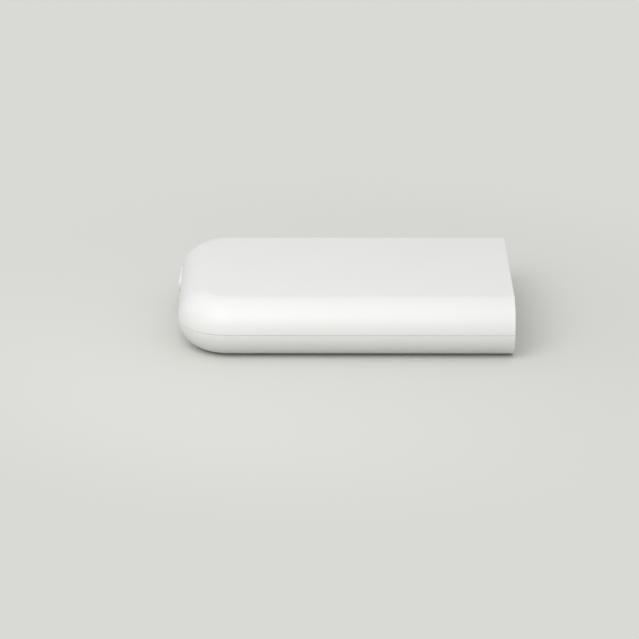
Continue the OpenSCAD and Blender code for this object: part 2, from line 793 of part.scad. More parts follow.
// Shield can, two chips, connectors for battery, motor and head
module board_parts() color("dimgray") {
  on_board(0.3, 0.54, 0.53, 0.61, 1.2*board_t);
  on_board(0.41, 0.86, -0.61, -0.22, 1.6*board_t);
  on_board(0.48, 0.73, -0.1, 0.03, 0.9*board_t);
  plug(battery_lead_y);
  plug(motor_lead_y);
  on_board(0.86, 1, -0.97, -0.8, 1.3*board_t);
}

module battery() color("lightsteelblue") for (s = [0, 1]) mirror([0, s, 0])
  translate([0, 0, battery_z]) linear_extrude(cell_t)
    rounded_plate([battery_x, cell_gap/2], [battery_x + cell_l, cell_gap/2 + cell_w], 1.6);

module battery_board() color("darkgreen")
  block([battery_x - hole_gap - pack_board_t, -cell_w/3, battery_z + cell_t/10],
    [battery_x - hole_gap, cell_w/3, battery_z + cell_t*0.9]);

module battery_leads() color("firebrick") for (s = [-1, 1])
  bar_x([battery_lead_y + s*lead_step, board_top + plug_h/2], 0.5, board_end, board_end + lead_l);

module battery_pad() color("darkgray")
  block([battery_x + pad_in, pad_in - cell_w, floor_z],
    [battery_x + cell_l - pad_in, cell_w - pad_in, battery_z]);

// Deck under the sheets with side walls, front gate and rear stops
module paper_tray() color("gainsboro") {
  window_half = sqrt(pow(pickup_d/2, 2) - pow(deck_z - pickup_at[1], 2)) + 0.9;
  difference() {
    block([bay_end - bay_wall, -tray_y, deck_z], [gate_x + bay_wall, tray_y, deck_top]);
    block([motor_at[0] + 0.2, plate_out + 0.1, deck_z - 1], [exit_x, tray_y + 1, deck_top + 1]);
    for (s = [-1, 1]) block(
      [pickup_at[0] - window_half, s*pickup_span/2 - pickup_l/2 - 0.6, deck_z - 1],
      [pickup_at[0] + window_half, s*pickup_span/2 + pickup_l/2 + 0.6, deck_top + 1]);
    block([gate_x - 3, -1.5, deck_z - 1], [gate_x - 1.4, 1.5, deck_top + 1]);
    for (at = tray_screws_at) bar_z(at, tray_screw_d/2 + hole_gap, deck_z - 1, deck_top + 1);
  }
  for (s = [0, 1]) mirror([0, s, 0]) {
    block([bay_end - bay_wall, bay_y, deck_top - root_depth], [gate_x + bay_wall, bay_y + bay_wall, bay_top]);
    block([bay_end - bay_wall, rear_way/2, deck_top - root_depth], [bay_end, bay_y + 0.1, bay_top]);
  }
  block([gate_x, -bay_y - 0.1, path_z + sheet_gap], [gate_x + bay_wall, bay_y + 0.1, bay_top]);
}

module separation_pad() color("saddlebrown")
  block([gate_x - 0.4, -5, path_z + sheet_gap], [gate_x, 5, path_z + sheet_gap + 2]);

module paper_sensor() color("black")
  block([gate_x - 3.6, -4, deck_z - 1.8], [gate_x - 0.8, 4, deck_z]);

// U of sheet steel with the bearings of all shafts
module engine_frame() color("silver") {
  motor_back = motor_at[0] - motor_d/2;
  difference() {
    union() {
      difference() {
        block([frame_back, -plate_out, frame_z], [frame_front, plate_out, frame_z + sheet_t]);
        for (at = frame_screws_at) bar_z(at, small_screw_d/2 + hole_gap, frame_z - 1, frame_z + 2);
      }
      for (s = [-1, 1]) {
        back = s > 0 ? motor_back : frame_back;
        y0 = s > 0 ? plate_y : -plate_out;
        block([back, y0, frame_z], [frame_front, y0 + sheet_t, frame_low_top]);
        block([gate_x + bay_wall + 0.2, y0, frame_z], [frame_front, y0 + sheet_t, frame_top]);
      }
    }
    for (at = [pickup_at, platen_at, exit_at]) bar_y(at, bush_r + fit_gap, -plate_out - 1, plate_out + 1);
    bar_y(pinch_at, pinch_shaft_d/2 + run_gap, -plate_out - 1, plate_out + 1);
    bar_y(head_pivot, head_pin_d/2 + run_gap, -plate_out - 1, plate_out + 1);
    for (at = [feed_idler_at, exit_idler_at, reduction_at])
      bar_y(at, rivet_r + fit_gap, 0, plate_out + 1);
    bar_y(motor_at, motor_boss_r + fit_gap, 0, plate_out + 1);
    // way out for the flat cable of the head
    block([cable_x[0] - 0.2, -plate_out - 1, cable_z - 0.5], [cable_x[1] + 0.2, -plate_y + 1, cable_z + 0.7]);
  }
}

module shaft_bushes() color("ivory") for (at = [pickup_at, platen_at, exit_at], s = [0, 1])
  mirror([0, s, 0]) difference() {
    union() {
      bar_y(at, bush_r, plate_y - bush_flange, plate_out + bush_proud);
      bar_y(at, bush_r + (at == exit_at ? 0.2 : 0.5), plate_y - bush_flange, plate_y);
    }
    bar_y(at, shaft_d/2 + run_gap, 0, plate_out + 1);
  }

module platen_shaft() color("lightgray") driven_shaft(platen_at);

module platen_sleeve() color("dimgray") sleeve(platen_at, platen_d, -platen_l/2, platen_l/2);

module platen_gear() color("white") shaft_gear(platen_teeth, platen_at, 0);

module pickup_shaft() color("lightgray") driven_shaft(pickup_at);

module pickup_rollers() color("dimgray") for (s = [-1, 1])
  sleeve(pickup_at, pickup_d, s*pickup_span/2 - pickup_l/2, s*pickup_span/2 + pickup_l/2);

module pickup_gear() color("white") shaft_gear(pickup_teeth, pickup_at, pickup_phase);

module exit_shaft() color("lightgray") driven_shaft(exit_at);

module exit_rollers() color("dimgray") for (s = [-1, 1])
  sleeve(exit_at, exit_d, s*exit_span/2 - exit_l/2, s*exit_span/2 + exit_l/2);

module exit_gear() color("white") shaft_gear(exit_teeth, exit_at, exit_phase);

module pinch_shaft() color("lightgray")
  bar_y(pinch_at, pinch_shaft_d/2, -plate_out - 0.2, plate_out + 0.2);

module pinch_rollers() color("white") for (s = [-1, 1]) difference() {
  bar_y(pinch_at, pinch_d/2, s*exit_span/2 - exit_l/2, s*exit_span/2 + exit_l/2);
  bar_y(pinch_at, pinch_shaft_d/2 + fit_gap, s*exit_span/2 - exit_l, s*exit_span/2 + exit_l);
}

module feed_idler() color("ivory") idler_gear(feed_idler_teeth, feed_idler_at, feed_phase);

module exit_idler() color("ivory") idler_gear(exit_idler_teeth, exit_idler_at, exit_idler_phase);

module reduction_gear() color("ivory") difference() {
  union() {
    gear(small_teeth, reduction_at, gear_y, large_y + 0.1, small_phase);
    gear(large_teeth, reduction_at, large_y, large_end, 0);
  }
  bar_y(reduction_at, stud_r + run_gap, gear_y - 1, large_end + 1);
}

// Studs riveted into the side plate, each with a shoulder and a clip
module gear_studs() color("silver") {
  ends = [[feed_idler_at, gear_end], [exit_idler_at, gear_end], [reduction_at, large_end]];
  for (stud = ends) {
    bar_y(stud[0], rivet_r, plate_y, plate_out + 0.1);
    bar_y(stud[0], stud_r + 0.5, plate_out, gear_y - 0.1);
    bar_y(stud[0], stud_r, plate_out, stud[1] + 0.1 + clip_t);
    bar_y(stud[0], clip_r, stud[1] + 0.1, stud[1] + 0.1 + clip_t);
  }
}

// Motor can with its front boss in the side plate and a terminal block
module drive_motor() color("silver") difference() {
  union() {
    bar_y(motor_at, motor_d/2, plate_y - motor_l, plate_y);
    bar_y(motor_at, motor_boss_r, plate_y - 1, plate_out);
    block([motor_at[0] - motor_d/2 - 0.8, plate_y - 3.2, motor_at[1] - 1.4],
      [motor_at[0] - motor_d/2 + 1, plate_y - 0.2, motor_at[1] + 1.4]);
  }
  bar_y(motor_at, motor_shaft_d/2 + run_gap, plate_y - motor_l + 1.5, plate_out + 1);
}

module motor_leads() color("firebrick") for (s = [-1, 1])
  bar_x([motor_lead_y + s*lead_step/2, motor_at[1]], 0.45, board_end, motor_at[0] - motor_d/2 - 0.8);

module motor_shaft() color("lightgray")
  bar_y(motor_at, motor_shaft_d/2, plate_y - motor_l + 2, large_end);

module motor_pinion() color("goldenrod") difference() {
  gear(pinion_teeth, motor_at, large_y, large_end, pinion_phase);
  bar_y(motor_at, motor_shaft_d/2 + fit_gap, large_y - 1, large_end + 1);
}

module heat_sink() color("lightgray") difference() {
  block([sink_x, -head_w/2, sink_z], [sink_x + sink_l, head_w/2, sink_top]);
  for (s = [-1, 1]) {
    bar_z([head_spring_x, s*head_spring_span/2], head_spring_d/2 + touch_gap,
      sink_top - spring_pocket, sink_top + 1);
    bar_y(head_pivot, head_pin_d/2 + fit_gap, s*head_w/2 - 3.2, s*head_w/2 + 3.2);
  }
}

module thermal_head() color("white")
  block([platen_at[0] - ceramic_l/2, -head_w/2 + 0.4, head_z],
    [platen_at[0] + ceramic_l/2, head_w/2 - 0.4, sink_z]);

module head_pins() color("silver") for (s = [0, 1]) mirror([0, s, 0])
  bar_y(head_pivot, head_pin_d/2, head_w/2 - 3, plate_out + 0.1);

module head_springs() color("silver") for (s = [-1, 1]) translate([head_spring_x, s*head_spring_span/2, 0])
  coil((head_spring_d - wire_d)/2, sink_top - spring_pocket + 0.05, bridge_z - 0.05, 2.5);

// Bridge over the head, bent down over both side plates
module spring_bridge() color("silver") {
  bridge_y = plate_out + sheet_t;
  block([bridge_x[0], -bridge_y, bridge_z], [bridge_x[1], bridge_y, bridge_z + sheet_t]);
  for (s = [0, 1]) mirror([0, s, 0])
    block([bridge_x[0], plate_out, frame_top - 1.4], [bridge_x[1], bridge_y, bridge_z + 0.1]);
}

// Flat cable from the head down the side plate and back to the main board
module head_cable() color("wheat") {
  block([cable_x[0], cable_y - cable_t, cable_z], [cable_x[1], -head_w/2 - 0.2, cable_z + cable_t]);
  block([cable_x[0], cable_y - cable_t, cable_low[0]], [cable_x[1], cable_y, cable_z + cable_t]);
  block([board_end + 0.2, cable_y - cable_t, cable_low[0]], [cable_x[1], cable_y, cable_low[1]]);
}

// Sprung plate that presses the sheets on the pick-up rollers
module pressure_plate() color("silver") {
  hinge_x = plate_hinge[0];
  hinge_z = plate_hinge[1];
  tip_x = gate_x - 2.2;
  flat_x = pickup_at[0] - 5;
  difference() {
    union() {
      bar_y(plate_hinge, tube_r, -plate_w/2, plate_w/2);
      profile_y(-plate_w/2, plate_w/2) polygon([
        [hinge_x, hinge_z - tube_r + 0.1], [flat_x, plate_z], [tip_x - 2.6, plate_z],
        [tip_x, plate_z + 1.1], [tip_x - 0.3, plate_z + 1.1 + plate_t], [tip_x - 2.8, plate_z + plate_t],
        [flat_x + 0.1, plate_z + plate_t], [hinge_x + 0.2, hinge_z - tube_r + 0.1 + plate_t]]);
      // tail that stops the plate against the ceiling
      block([hinge_x - 3.6, -plate_w/2 + 3, hinge_z + 0.3], [hinge_x, plate_w/2 - 3, ceiling_z - touch_gap]);
    }
    bar_y(plate_hinge, plate_pin_d/2 + run_gap, -plate_w, plate_w);
  }
}

module plate_pins() color("silver") for (s = [0, 1]) mirror([0, s, 0])
  bar_y(plate_hinge, plate_pin_d/2, plate_w/2 - 3, ear_y + ear_t);

module plate_springs() color("silver") for (s = [-1, 1])
  translate([pickup_at[0], s*plate_spring_span/2, 0])
    coil((plate_spring_d - wire_d)/2, plate_z + plate_t + 0.05, ceiling_z - 0.05, 3.5);

// Bowed leaves that press on the tongues of the cover
module brake_springs() color("silver") {
  middle = (brake_x[0] + brake_x[1])/2;
  low = rail_y - 0.6;
  crown = rail_y + touch_gap - 0.1;
  leaf = 0.2;
  for (s = [0, 1]) mirror([0, s, 0])
    translate([0, 0, tongue_z + 0.1]) linear_extrude(tongue_t - 0.2) polygon([
      [brake_x[0], low], [brake_x[0] + 1, low], [middle - 1, crown - leaf], [middle + 1, crown - leaf],
      [brake_x[1] - 1, low], [brake_x[1], low],
      [brake_x[1], low + leaf], [brake_x[1] - 0.9, low + leaf],
      [middle + 1.1, crown], [middle - 1.1, crown],
      [brake_x[0] + 0.9, low + leaf], [brake_x[0], low + leaf]]);
}

module rubber_feet() color("lightgray") foot_places()
  translate([0, 0, -foot_h]) cylinder(d = foot_d, h = foot_h + foot_recess);

module tray_screws() color("silver") for (at = tray_screws_at)
  screw(at, tray_screw_d, deck_top, tray_screw_l);

module frame_screws() color("silver") for (at = frame_screws_at)
  screw(at, small_screw_d, frame_z + sheet_t, frame_screw_l);

module board_screws() color("silver") for (at = board_screws_at)
  screw(at, small_screw_d, board_top, board_screw_l);

top_cover();
base_shell();
exit_bezel();
power_button();
switch_plunger();
power_switch();
usb_socket();
usb_tongue();
light_pipe();
status_lamp();
reset_plunger();
reset_switch();
main_board();
board_parts();
battery();
battery_board();
battery_leads();
battery_pad();
paper_tray();
separation_pad();
paper_sensor();
engine_frame();
shaft_bushes();
platen_shaft();
platen_sleeve();
platen_gear();
pickup_shaft();
pickup_rollers();
pickup_gear();
exit_shaft();
exit_rollers();
exit_gear();
pinch_shaft();
pinch_rollers();
feed_idler();
exit_idler();
reduction_gear();
gear_studs();
drive_motor();
motor_leads();
motor_shaft();
motor_pinion();
heat_sink();
thermal_head();
head_pins();
head_springs();
spring_bridge();
head_cable();
pressure_plate();
plate_pins();
plate_springs();
brake_springs();
rubber_feet();
tray_screws();
frame_screws();
board_screws();
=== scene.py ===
"""Compact photo printer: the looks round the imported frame.

Pieces are given in millimetres, as in the part's source, and MM turns them into the scene's metres.
"""
import bpy
import json
import math
from mathutils import Matrix, Vector


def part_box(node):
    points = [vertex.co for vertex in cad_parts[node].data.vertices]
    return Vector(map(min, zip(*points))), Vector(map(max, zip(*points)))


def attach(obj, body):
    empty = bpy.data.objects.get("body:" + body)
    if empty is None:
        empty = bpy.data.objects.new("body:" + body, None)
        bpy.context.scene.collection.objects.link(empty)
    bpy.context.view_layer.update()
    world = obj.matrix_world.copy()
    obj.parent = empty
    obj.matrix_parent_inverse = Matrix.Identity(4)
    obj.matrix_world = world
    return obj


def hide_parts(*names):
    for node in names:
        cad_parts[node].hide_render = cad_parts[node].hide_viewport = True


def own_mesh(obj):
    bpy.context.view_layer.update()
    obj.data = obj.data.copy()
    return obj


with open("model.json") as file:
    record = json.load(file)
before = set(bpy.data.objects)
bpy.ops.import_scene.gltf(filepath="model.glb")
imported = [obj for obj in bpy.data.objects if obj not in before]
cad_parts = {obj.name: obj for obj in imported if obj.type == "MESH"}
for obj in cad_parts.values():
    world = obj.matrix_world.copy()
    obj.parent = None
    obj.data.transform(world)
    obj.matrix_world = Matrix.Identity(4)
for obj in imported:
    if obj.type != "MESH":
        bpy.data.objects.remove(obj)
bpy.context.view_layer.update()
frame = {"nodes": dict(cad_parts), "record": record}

MM = 0.001
X, Y, Z = range(3)
LOW, HIGH = range(2)
NODES = frame["nodes"]
BODY_OF = {node: body for body, nodes in frame["record"]["behaviour"]["bodies"].items() for node in nodes}
SLOT_OF = {name: node.material_slots[0].material.name for name, node in NODES.items()}


def corner(node, end):
    """Lowest or highest corner of a CAD node, in millimetres to a hundredth."""
    return [round(v/MM, 2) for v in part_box(node)[end]]


def axis_at(node):
    """Place in X and Z of the middle of a CAD node."""
    lo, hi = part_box(node)
    return round((lo.x + hi.x)/2/MM, 2), round((lo.z + hi.z)/2/MM, 2)


# Camera, light and floor

VIEW_CENTRE_Z = 11.15*MM
VIEW_TILT = math.radians(20.286)
VIEW_YAW = math.radians(0.570)
VIEW_ROLL = math.radians(-0.258)
VIEW_DISTANCE = 1275.2*MM
VIEW_SHIFT = (8.902*MM, 9.392*MM)
VIEW_CLIP = (0.01, 50)
FOCAL_PIXELS, IMAGE_PIXELS, SENSOR = 3399.0, 639, 36.0
# Brightness on a white card, degrees from the vertical, degrees to the side, distance and width in metres
LAMPS = {"key_lamp": (0.46, 46, -24, 0.6, 0.45), "low_lamp": (0.04, 66, -10, 1.4, 1.1)}
AMBIENT = 0.73
FLOOR_SIZE = 8
FLOOR_GREY = (0.694, 0.701, 0.665)
FLOOR_BOUNCE = 0.78
# Shade of the floor's colour, and how far it is painted lighter towards the back to make up for the lamps'
# falloff
FLOOR_TRIM = 0.985
FLOOR_SLOPE = 0.4
FLOOR_SPREAD = 0.3
FLOOR_FADE = (0.085, 0.2)
FLOOR_GRAIN = 700


def add_camera():
    """Camera at the photograph's angle, distance and framing."""
    bpy.ops.object.camera_add()
    cam = bpy.context.object
    cam.name = "camera"
    cam.data.sensor_width = SENSOR
    cam.data.lens = FOCAL_PIXELS/IMAGE_PIXELS*SENSOR
    cam.data.clip_start, cam.data.clip_end = VIEW_CLIP
    ahead = Vector((0, math.cos(VIEW_TILT), -math.sin(VIEW_TILT)))
    right = Vector((1, 0, 0))
    up = Vector((0, math.sin(VIEW_TILT), math.cos(VIEW_TILT)))
    rolled_right = right*math.cos(VIEW_ROLL) - up*math.sin(VIEW_ROLL)
    rolled_up = right*math.sin(VIEW_ROLL) + up*math.cos(VIEW_ROLL)
    place = -VIEW_DISTANCE*ahead - VIEW_SHIFT[0]*rolled_right - VIEW_SHIFT[1]*rolled_up
    axes = Matrix((rolled_right, rolled_up, -ahead)).transposed().to_4x4()
    turn = Matrix.Rotation(-VIEW_YAW, 4, "Z")
    centre = Matrix.Translation((0, 0, VIEW_CENTRE_Z))
    cam.matrix_world = centre @ turn @ Matrix.Translation(place) @ axes
    bpy.context.scene.camera = cam


def add_lamp(name, level, tilt, side, distance, size):
    """Soft round lamp aimed at the object."""
    tilt, side = math.radians(tilt), math.radians(side)
    out = Vector((math.sin(side)*math.sin(tilt), -math.cos(side)*math.sin(tilt), math.cos(tilt)))
    bpy.ops.object.light_add(type="AREA", location=out*distance)
    light = bpy.context.object
    light.name = name
    light.data.shape = "DISK"
    light.data.size = size
    light.data.energy = math.pi**2*level*distance**2
    light.rotation_euler = out.to_track_quat("Z", "Y").to_euler()


def add_lamps():
    """Soft lamp high in front, a weaker and larger one low in front, and an even surround."""
    for name, numbers in LAMPS.items():
        add_lamp(name, *numbers)
    world = bpy.data.worlds.new("studio")
    bpy.context.scene.world = world
    world.use_nodes = True
    world.node_tree.nodes.clear()
    f = Shading(world.node_tree)
    soft = f.node("Background", {}, {"Color": (1, 1, 1, 1), "Strength": AMBIENT})
    wall = f.node("Background", {}, {"Color": (*FLOOR_GREY, 1), "Strength": 1.0})
    f.node("OutputWorld", {}, {"Surface": f.node("MixShader", {}, {0: f.seen(), 1: soft, 2: wall})})


def add_floor():
    """Plain pale floor with a low even grain."""
    deselect()
    bpy.ops.mesh.primitive_plane_add(size=FLOOR_SIZE, location=(0, 0, 0))
    floor = bpy.context.object
    floor.name = "floor"
    floor.data.materials.append(paper_floor())


# Shader expressions

# Numbers of sockets that share a name or are easier to tell by number
OBJECT_SPACE = 3
CAMERA_RAY, GLOSSY_RAY, TRANSMISSION_RAY = 0, 3, 6
MIX_SHARE, MIX_A, MIX_B, MIX_RESULT = 0, 6, 7, 2
CELL_DISTANCE, CELL_COLOUR = 0, 1


class Value:
    """A socket whose arithmetic adds Math nodes."""

    def __init__(self, shading, socket):
        self.shading, self.socket = shading, socket

    def other(self, index):
        """Another output of the same node."""
        return Value(self.shading, self.socket.node.outputs[index])

    def math(self, how, *more):
        return self.shading.node("Math", {"operation": how}, dict(enumerate((self, *more))))

    def __add__(self, b):
        return self.math("ADD", b)

    __radd__ = __add__

    def __mul__(self, b):
        return self.math("MULTIPLY", b)

    __rmul__ = __mul__

    def __sub__(self, b):
        return self.math("SUBTRACT", b)

    def __rsub__(self, b):
        return self.shading.node("Math", {"operation": "SUBTRACT"}, {0: b, 1: self})

    def __abs__(self):
        return self.math("ABSOLUTE")

    def larger(self, b):
        return self.math("MAXIMUM", b)

    def smaller(self, b):
        return self.math("MINIMUM", b)

    def above(self, b):
        return self.math("GREATER_THAN", b)

    def below(self, b):
        return self.math("LESS_THAN", b)

    def part(self, length):
        """Distance along a repeat of the given length, from 0 to 1."""
        return self.math("DIVIDE", length).math("FRACT")


class Shading:
    """A node tree that is filled by expressions."""

    def __init__(self, tree):
        self.tree = tree

    def node(self, kind, settings=None, inputs=None, out=0):
        made = self.tree.nodes.new("ShaderNode" + kind)
        for key, value in (settings or {}).items():
            setattr(made, key, value)
        for key, value in (inputs or {}).items():
            if isinstance(value, Value):
                self.tree.links.new(value.socket, made.inputs[key])
            else:
                made.inputs[key].default_value = value
        return Value(self, made.outputs[out]) if made.outputs else None

    def where(self):
        """Object coordinates."""
        return self.node("TexCoord", out=OBJECT_SPACE)

    def parts(self, vector):
        """The three values of a place or a colour."""
        first = self.node("SeparateXYZ", {}, {0: vector})
        return first, first.other(1), first.other(2)

    def seen(self):
        """1 where the camera looks, straight or by way of gloss or glass."""
        path = self.node("LightPath", out=CAMERA_RAY)
        return path.larger(path.other(GLOSSY_RAY)).larger(path.other(TRANSMISSION_RAY))

    def stretched(self, where, scale):
        return self.node("Mapping", {}, {"Vector": where, "Scale": scale})

    def noise(self, where, scale, detail=2.0, rough=0.5):
        sockets = {"Vector": where, "Scale": scale, "Detail": detail, "Roughness": rough}
        return self.node("TexNoise", {}, sockets)

    def cells(self, where, scale, out=CELL_DISTANCE):
        return self.node("TexVoronoi", {}, {"Vector": where, "Scale": scale}, out=out)

    def blend(self, share, a, b):
        sockets = {MIX_SHARE: share, MIX_A: a, MIX_B: b}
        return self.node("Mix", {"data_type": "RGBA"}, sockets, out=MIX_RESULT)

    def tones(self, share, colour, low, high):
        """A colour that goes from one shade of it to another."""
        return self.blend(share, shade(colour, low), shade(colour, high))

    def bump(self, height, strength, depth):
        return self.node("Bump", {}, {"Height": height, "Strength": strength, "Distance": depth})


class Finish(Shading):
    """A material with one Principled shader."""

    def __init__(self, name, **constants):
        self.material = bpy.data.materials.new(name)
        self.material.use_nodes = True
        super().__init__(self.material.node_tree)
        self.shader = self.tree.nodes["Principled BSDF"]
        for key, value in constants.items():
            self.shader.inputs[key.replace("_", " ")].default_value = value

    def feed(self, **links):
        for key, value in links.items():
            self.tree.links.new(value.socket, self.shader.inputs[key.replace("_", " ")])
        return self.material


def shade(colour, factor):
    return (*(min(1, c*factor) for c in colour), 1)


def around(middle, *swings):
    """A middle value that noises between 0 and 1 swing up and down, each by its own span."""
    for noise, span in swings:
        middle = (noise - 0.5)*span + middle
    return middle


# Finishes, whose numbers are shares, shades, lengths in metres and counts of grains in a metre

def moulded(name, colour, rough, grain=4200, depth=6e-6, drift=0.02, shine=0.5):
    """Moulded plastic with a fine eroded texture and a slight unevenness of tone."""
    f = Finish(name, Specular_IOR_Level=shine)
    where = f.where()
    fine = f.noise(where, scale=grain, detail=3.0, rough=0.6)
    broad = f.noise(where, scale=38)
    tone = f.tones(broad, colour, low=1 - drift, high=1 + drift/2)
    tone = f.blend(fine*0.12, tone, shade(colour, 0.94))
    return f.feed(Base_Color=tone, Roughness=around(rough, (fine, 0.14), (broad, 0.05)),
                  Normal=f.bump(fine, strength=0.35, depth=depth))


def rubbery(name, colour, rough=0.78, grain=2600, depth=2.5e-5):
    """Rubber with a ground, slightly dusty surface."""
    f = Finish(name, Specular_IOR_Level=0.35)
    where = f.where()
    fine = f.noise(where, scale=grain, detail=4.0, rough=0.7)
    dust = f.noise(where, scale=420, detail=3.0, rough=0.6)
    tone = f.tones(dust, colour, low=0.82, high=1.28)
    return f.feed(Base_Color=tone, Roughness=around(rough, (fine, 0.2)),
                  Normal=f.bump(fine, strength=0.6, depth=depth))


def brushed(name, colour, rough, lines, strength=0.25):
    """Metal with fine lines along one way; lines is the scale of the noise on each axis."""
    f = Finish(name, Metallic=1.0)
    where = f.where()
    streak = f.noise(f.stretched(where, lines), scale=1.0, detail=4.0, rough=0.65)
    broad = f.noise(where, scale=260, detail=3.0)
    tone = f.tones(streak, colour, low=0.84, high=1.1)
    tone = f.blend(broad*0.35, tone, shade(colour, 0.8))
    return f.feed(Base_Color=tone, Roughness=around(rough, (streak, 0.22), (broad, 0.12)),
                  Normal=f.bump(streak, strength, depth=8e-6))


def zinc_sheet(name, colour):
    """Zinc-plated sheet with faint spangles, rolling lines and a few darker stains."""
    f = Finish(name, Metallic=1.0)
    where = f.where()
    flake = f.parts(f.cells(where, scale=420, out=CELL_COLOUR))[0]
    roll = f.noise(f.stretched(where, (3000, 120, 3000)), scale=1.0, detail=3.0, rough=0.6)
    stain = f.noise(where, scale=90, detail=4.0, rough=0.6)
    tone = f.tones(flake, colour, low=0.9, high=1.06)
    tone = f.blend(roll*0.4, tone, shade(colour, 0.82))
    tone = f.blend(stain.above(0.62)*0.12, tone, shade(colour, 0.75))
    return f.feed(Base_Color=tone, Roughness=flake*0.1 + roll*0.16 + 0.2,
                  Normal=f.bump(roll, strength=0.18, depth=6e-6))


def cork(name, colour):
    """Pressed cork with grains of differing tone."""
    f = Finish(name, Specular_IOR_Level=0.2)
    where = f.where()
    grain = f.parts(f.cells(where, scale=2600, out=CELL_COLOUR))[0]
    tone = f.tones(grain, colour, low=0.62, high=1.5)
    return f.feed(Base_Color=tone, Roughness=0.9 - grain*0.1,
                  Normal=f.bump(f.cells(where, scale=2600), strength=0.7, depth=4e-5))


def acetal(name, colour, rough=0.36):
    """Moulded gear plastic, slightly waxy, with faint flow marks."""
    f = Finish(name, Subsurface_Weight=0.08, Subsurface_Radius=(0.0006, 0.0006, 0.0005),
               Specular_IOR_Level=0.5)
    where = f.where()
    flow = f.noise(where, scale=500, detail=3.0, rough=0.6)
    fine = f.noise(where, scale=5200)
    tone = f.tones(flow, colour, low=0.95, high=1.04)
    return f.feed(Base_Color=tone, Roughness=around(rough, (flow, 0.14)),
                  Normal=f.bump(fine, strength=0.25, depth=4e-6))


HEATER_X, HEATER_HALF = axis_at("thermal_head")[0]*MM, 0.45*MM
TRACE_PITCH, TRACE_SPAN = 0.42*MM, (0.6*MM, 2.4*MM)
TRACE_METAL, HEATER_GLAZE = (0.62, 0.55, 0.36, 1), (0.16, 0.13, 0.11, 1)


def ceramic(name, colour):
    """White alumina bar with the dark glazed heater line along its middle and metal traces."""
    f = Finish(name, Coat_Roughness=0.1)
    where = f.where()
    x, y, z = f.parts(where)
    off = abs(x - HEATER_X)
    line = off.below(HEATER_HALF)
    traces = y.part(TRACE_PITCH).below(0.5)*off.below(TRACE_SPAN[1])*off.above(TRACE_SPAN[0])
    speck = f.noise(where, scale=3800, detail=3.0)
    tone = f.tones(speck, colour, low=0.95, high=1.04)
    tone = f.blend(traces*0.55, tone, TRACE_METAL)
    tone = f.blend(line, tone, HEATER_GLAZE)
    return f.feed(Base_Color=tone, Roughness=0.42 - line*0.26, Coat_Weight=line*0.6,
                  Normal=f.bump(speck, strength=0.2, depth=4e-6))


LANE_PITCH, LANE_SHARE, LANE_WANDER = 1.1*MM, 0.42, 4*MM
ROW_PITCH, ROW_SHARE, ROW_WANDER = 1.4*MM, 0.36, 6*MM
VIA_METAL = (0.66, 0.62, 0.5, 1)


def solder_mask(name, colour):
    """Green board with lighter tracks under its mask, in patches that run either way, and tinned dots."""
    f = Finish(name, Coat_Roughness=0.12, Coat_Weight=0.35)
    where = f.where()
    x, y, z = f.parts(where)
    wander = f.noise(f.stretched(where, (160, 40, 40)), scale=1.0, detail=1.0)
    lanes = (x + wander*LANE_WANDER).part(LANE_PITCH).below(LANE_SHARE)
    rows = (y + wander*ROW_WANDER).part(ROW_PITCH).below(ROW_SHARE)
    zone = f.parts(f.cells(where, scale=210, out=CELL_COLOUR))[0]
    tracks = lanes*zone.above(0.5) + rows*zone.below(0.35)
    via = f.cells(where, scale=620).below(0.1)
    fine = f.noise(where, scale=3000)
    tone = f.blend(tracks.smaller(1.0)*0.7, (*colour, 1), shade(colour, 1.9))
    tone = f.blend(via, tone, VIA_METAL)
    return f.feed(Base_Color=tone, Roughness=0.34 + fine*0.12,
                  Normal=f.bump(tracks*0.7 + via + fine*0.15, strength=0.35, depth=2.2e-5))


def chip_epoxy(name, colour):
    """Black moulding compound with a sandy surface."""
    f = Finish(name, Specular_IOR_Level=0.5)
    fine = f.noise(f.where(), scale=5200, detail=4.0, rough=0.7)
    tone = f.tones(fine, colour, low=0.8, high=1.7)
    return f.feed(Base_Color=tone, Roughness=around(0.52, (fine, 0.25)),
                  Normal=f.bump(fine, strength=0.5, depth=1.2e-5))


def pouch_foil(name, colour):
    """Aluminium laminate of a pouch cell: satin, with shallow wrinkles."""
    f = Finish(name, Metallic=0.75)
    where = f.where()
    wrinkle = f.noise(where, scale=130, detail=4.0, rough=0.55)
    fine = f.noise(f.stretched(where, (2400, 500, 2400)), scale=1.0)
    tone = f.tones(wrinkle, colour, low=0.86, high=1.1)
    return f.feed(Base_Color=tone, Roughness=around(0.36, (fine, 0.12)),
                  Normal=f.bump(wrinkle, strength=0.5, depth=2e-4))


def foam(name, colour):
    """Open foam whose pores are painted darker in their pits, as painted shade."""
    f = Finish(name, Specular_IOR_Level=0.15)
    pores = f.cells(f.where(), scale=3600)
    # The pits of the pores are painted darker: painted shade
    tone = f.tones(pores, colour, low=0.5, high=1.8)
    return f.feed(Base_Color=tone, Roughness=0.92 - pores*0.1,
                  Normal=f.bump(pores, strength=0.8, depth=1e-4))


def insulation(name, colour):
    """Wire insulation with a soft shine and faint rubbed spots."""
    f = Finish(name, Specular_IOR_Level=0.5)
    rub = f.noise(f.where(), scale=900, detail=3.0)
    tone = f.tones(rub, colour, low=0.86, high=1.12)
    return f.feed(Base_Color=tone, Roughness=around(0.36, (rub, 0.2)),
                  Normal=f.bump(rub, strength=0.2, depth=1.5e-5))


BEND_X = 49.8*MM
UPRIGHT_PITCH, LEVEL_PITCH = 0.55*MM, 0.4*MM
CABLE_COPPER = (0.5, 0.24, 0.1, 1)


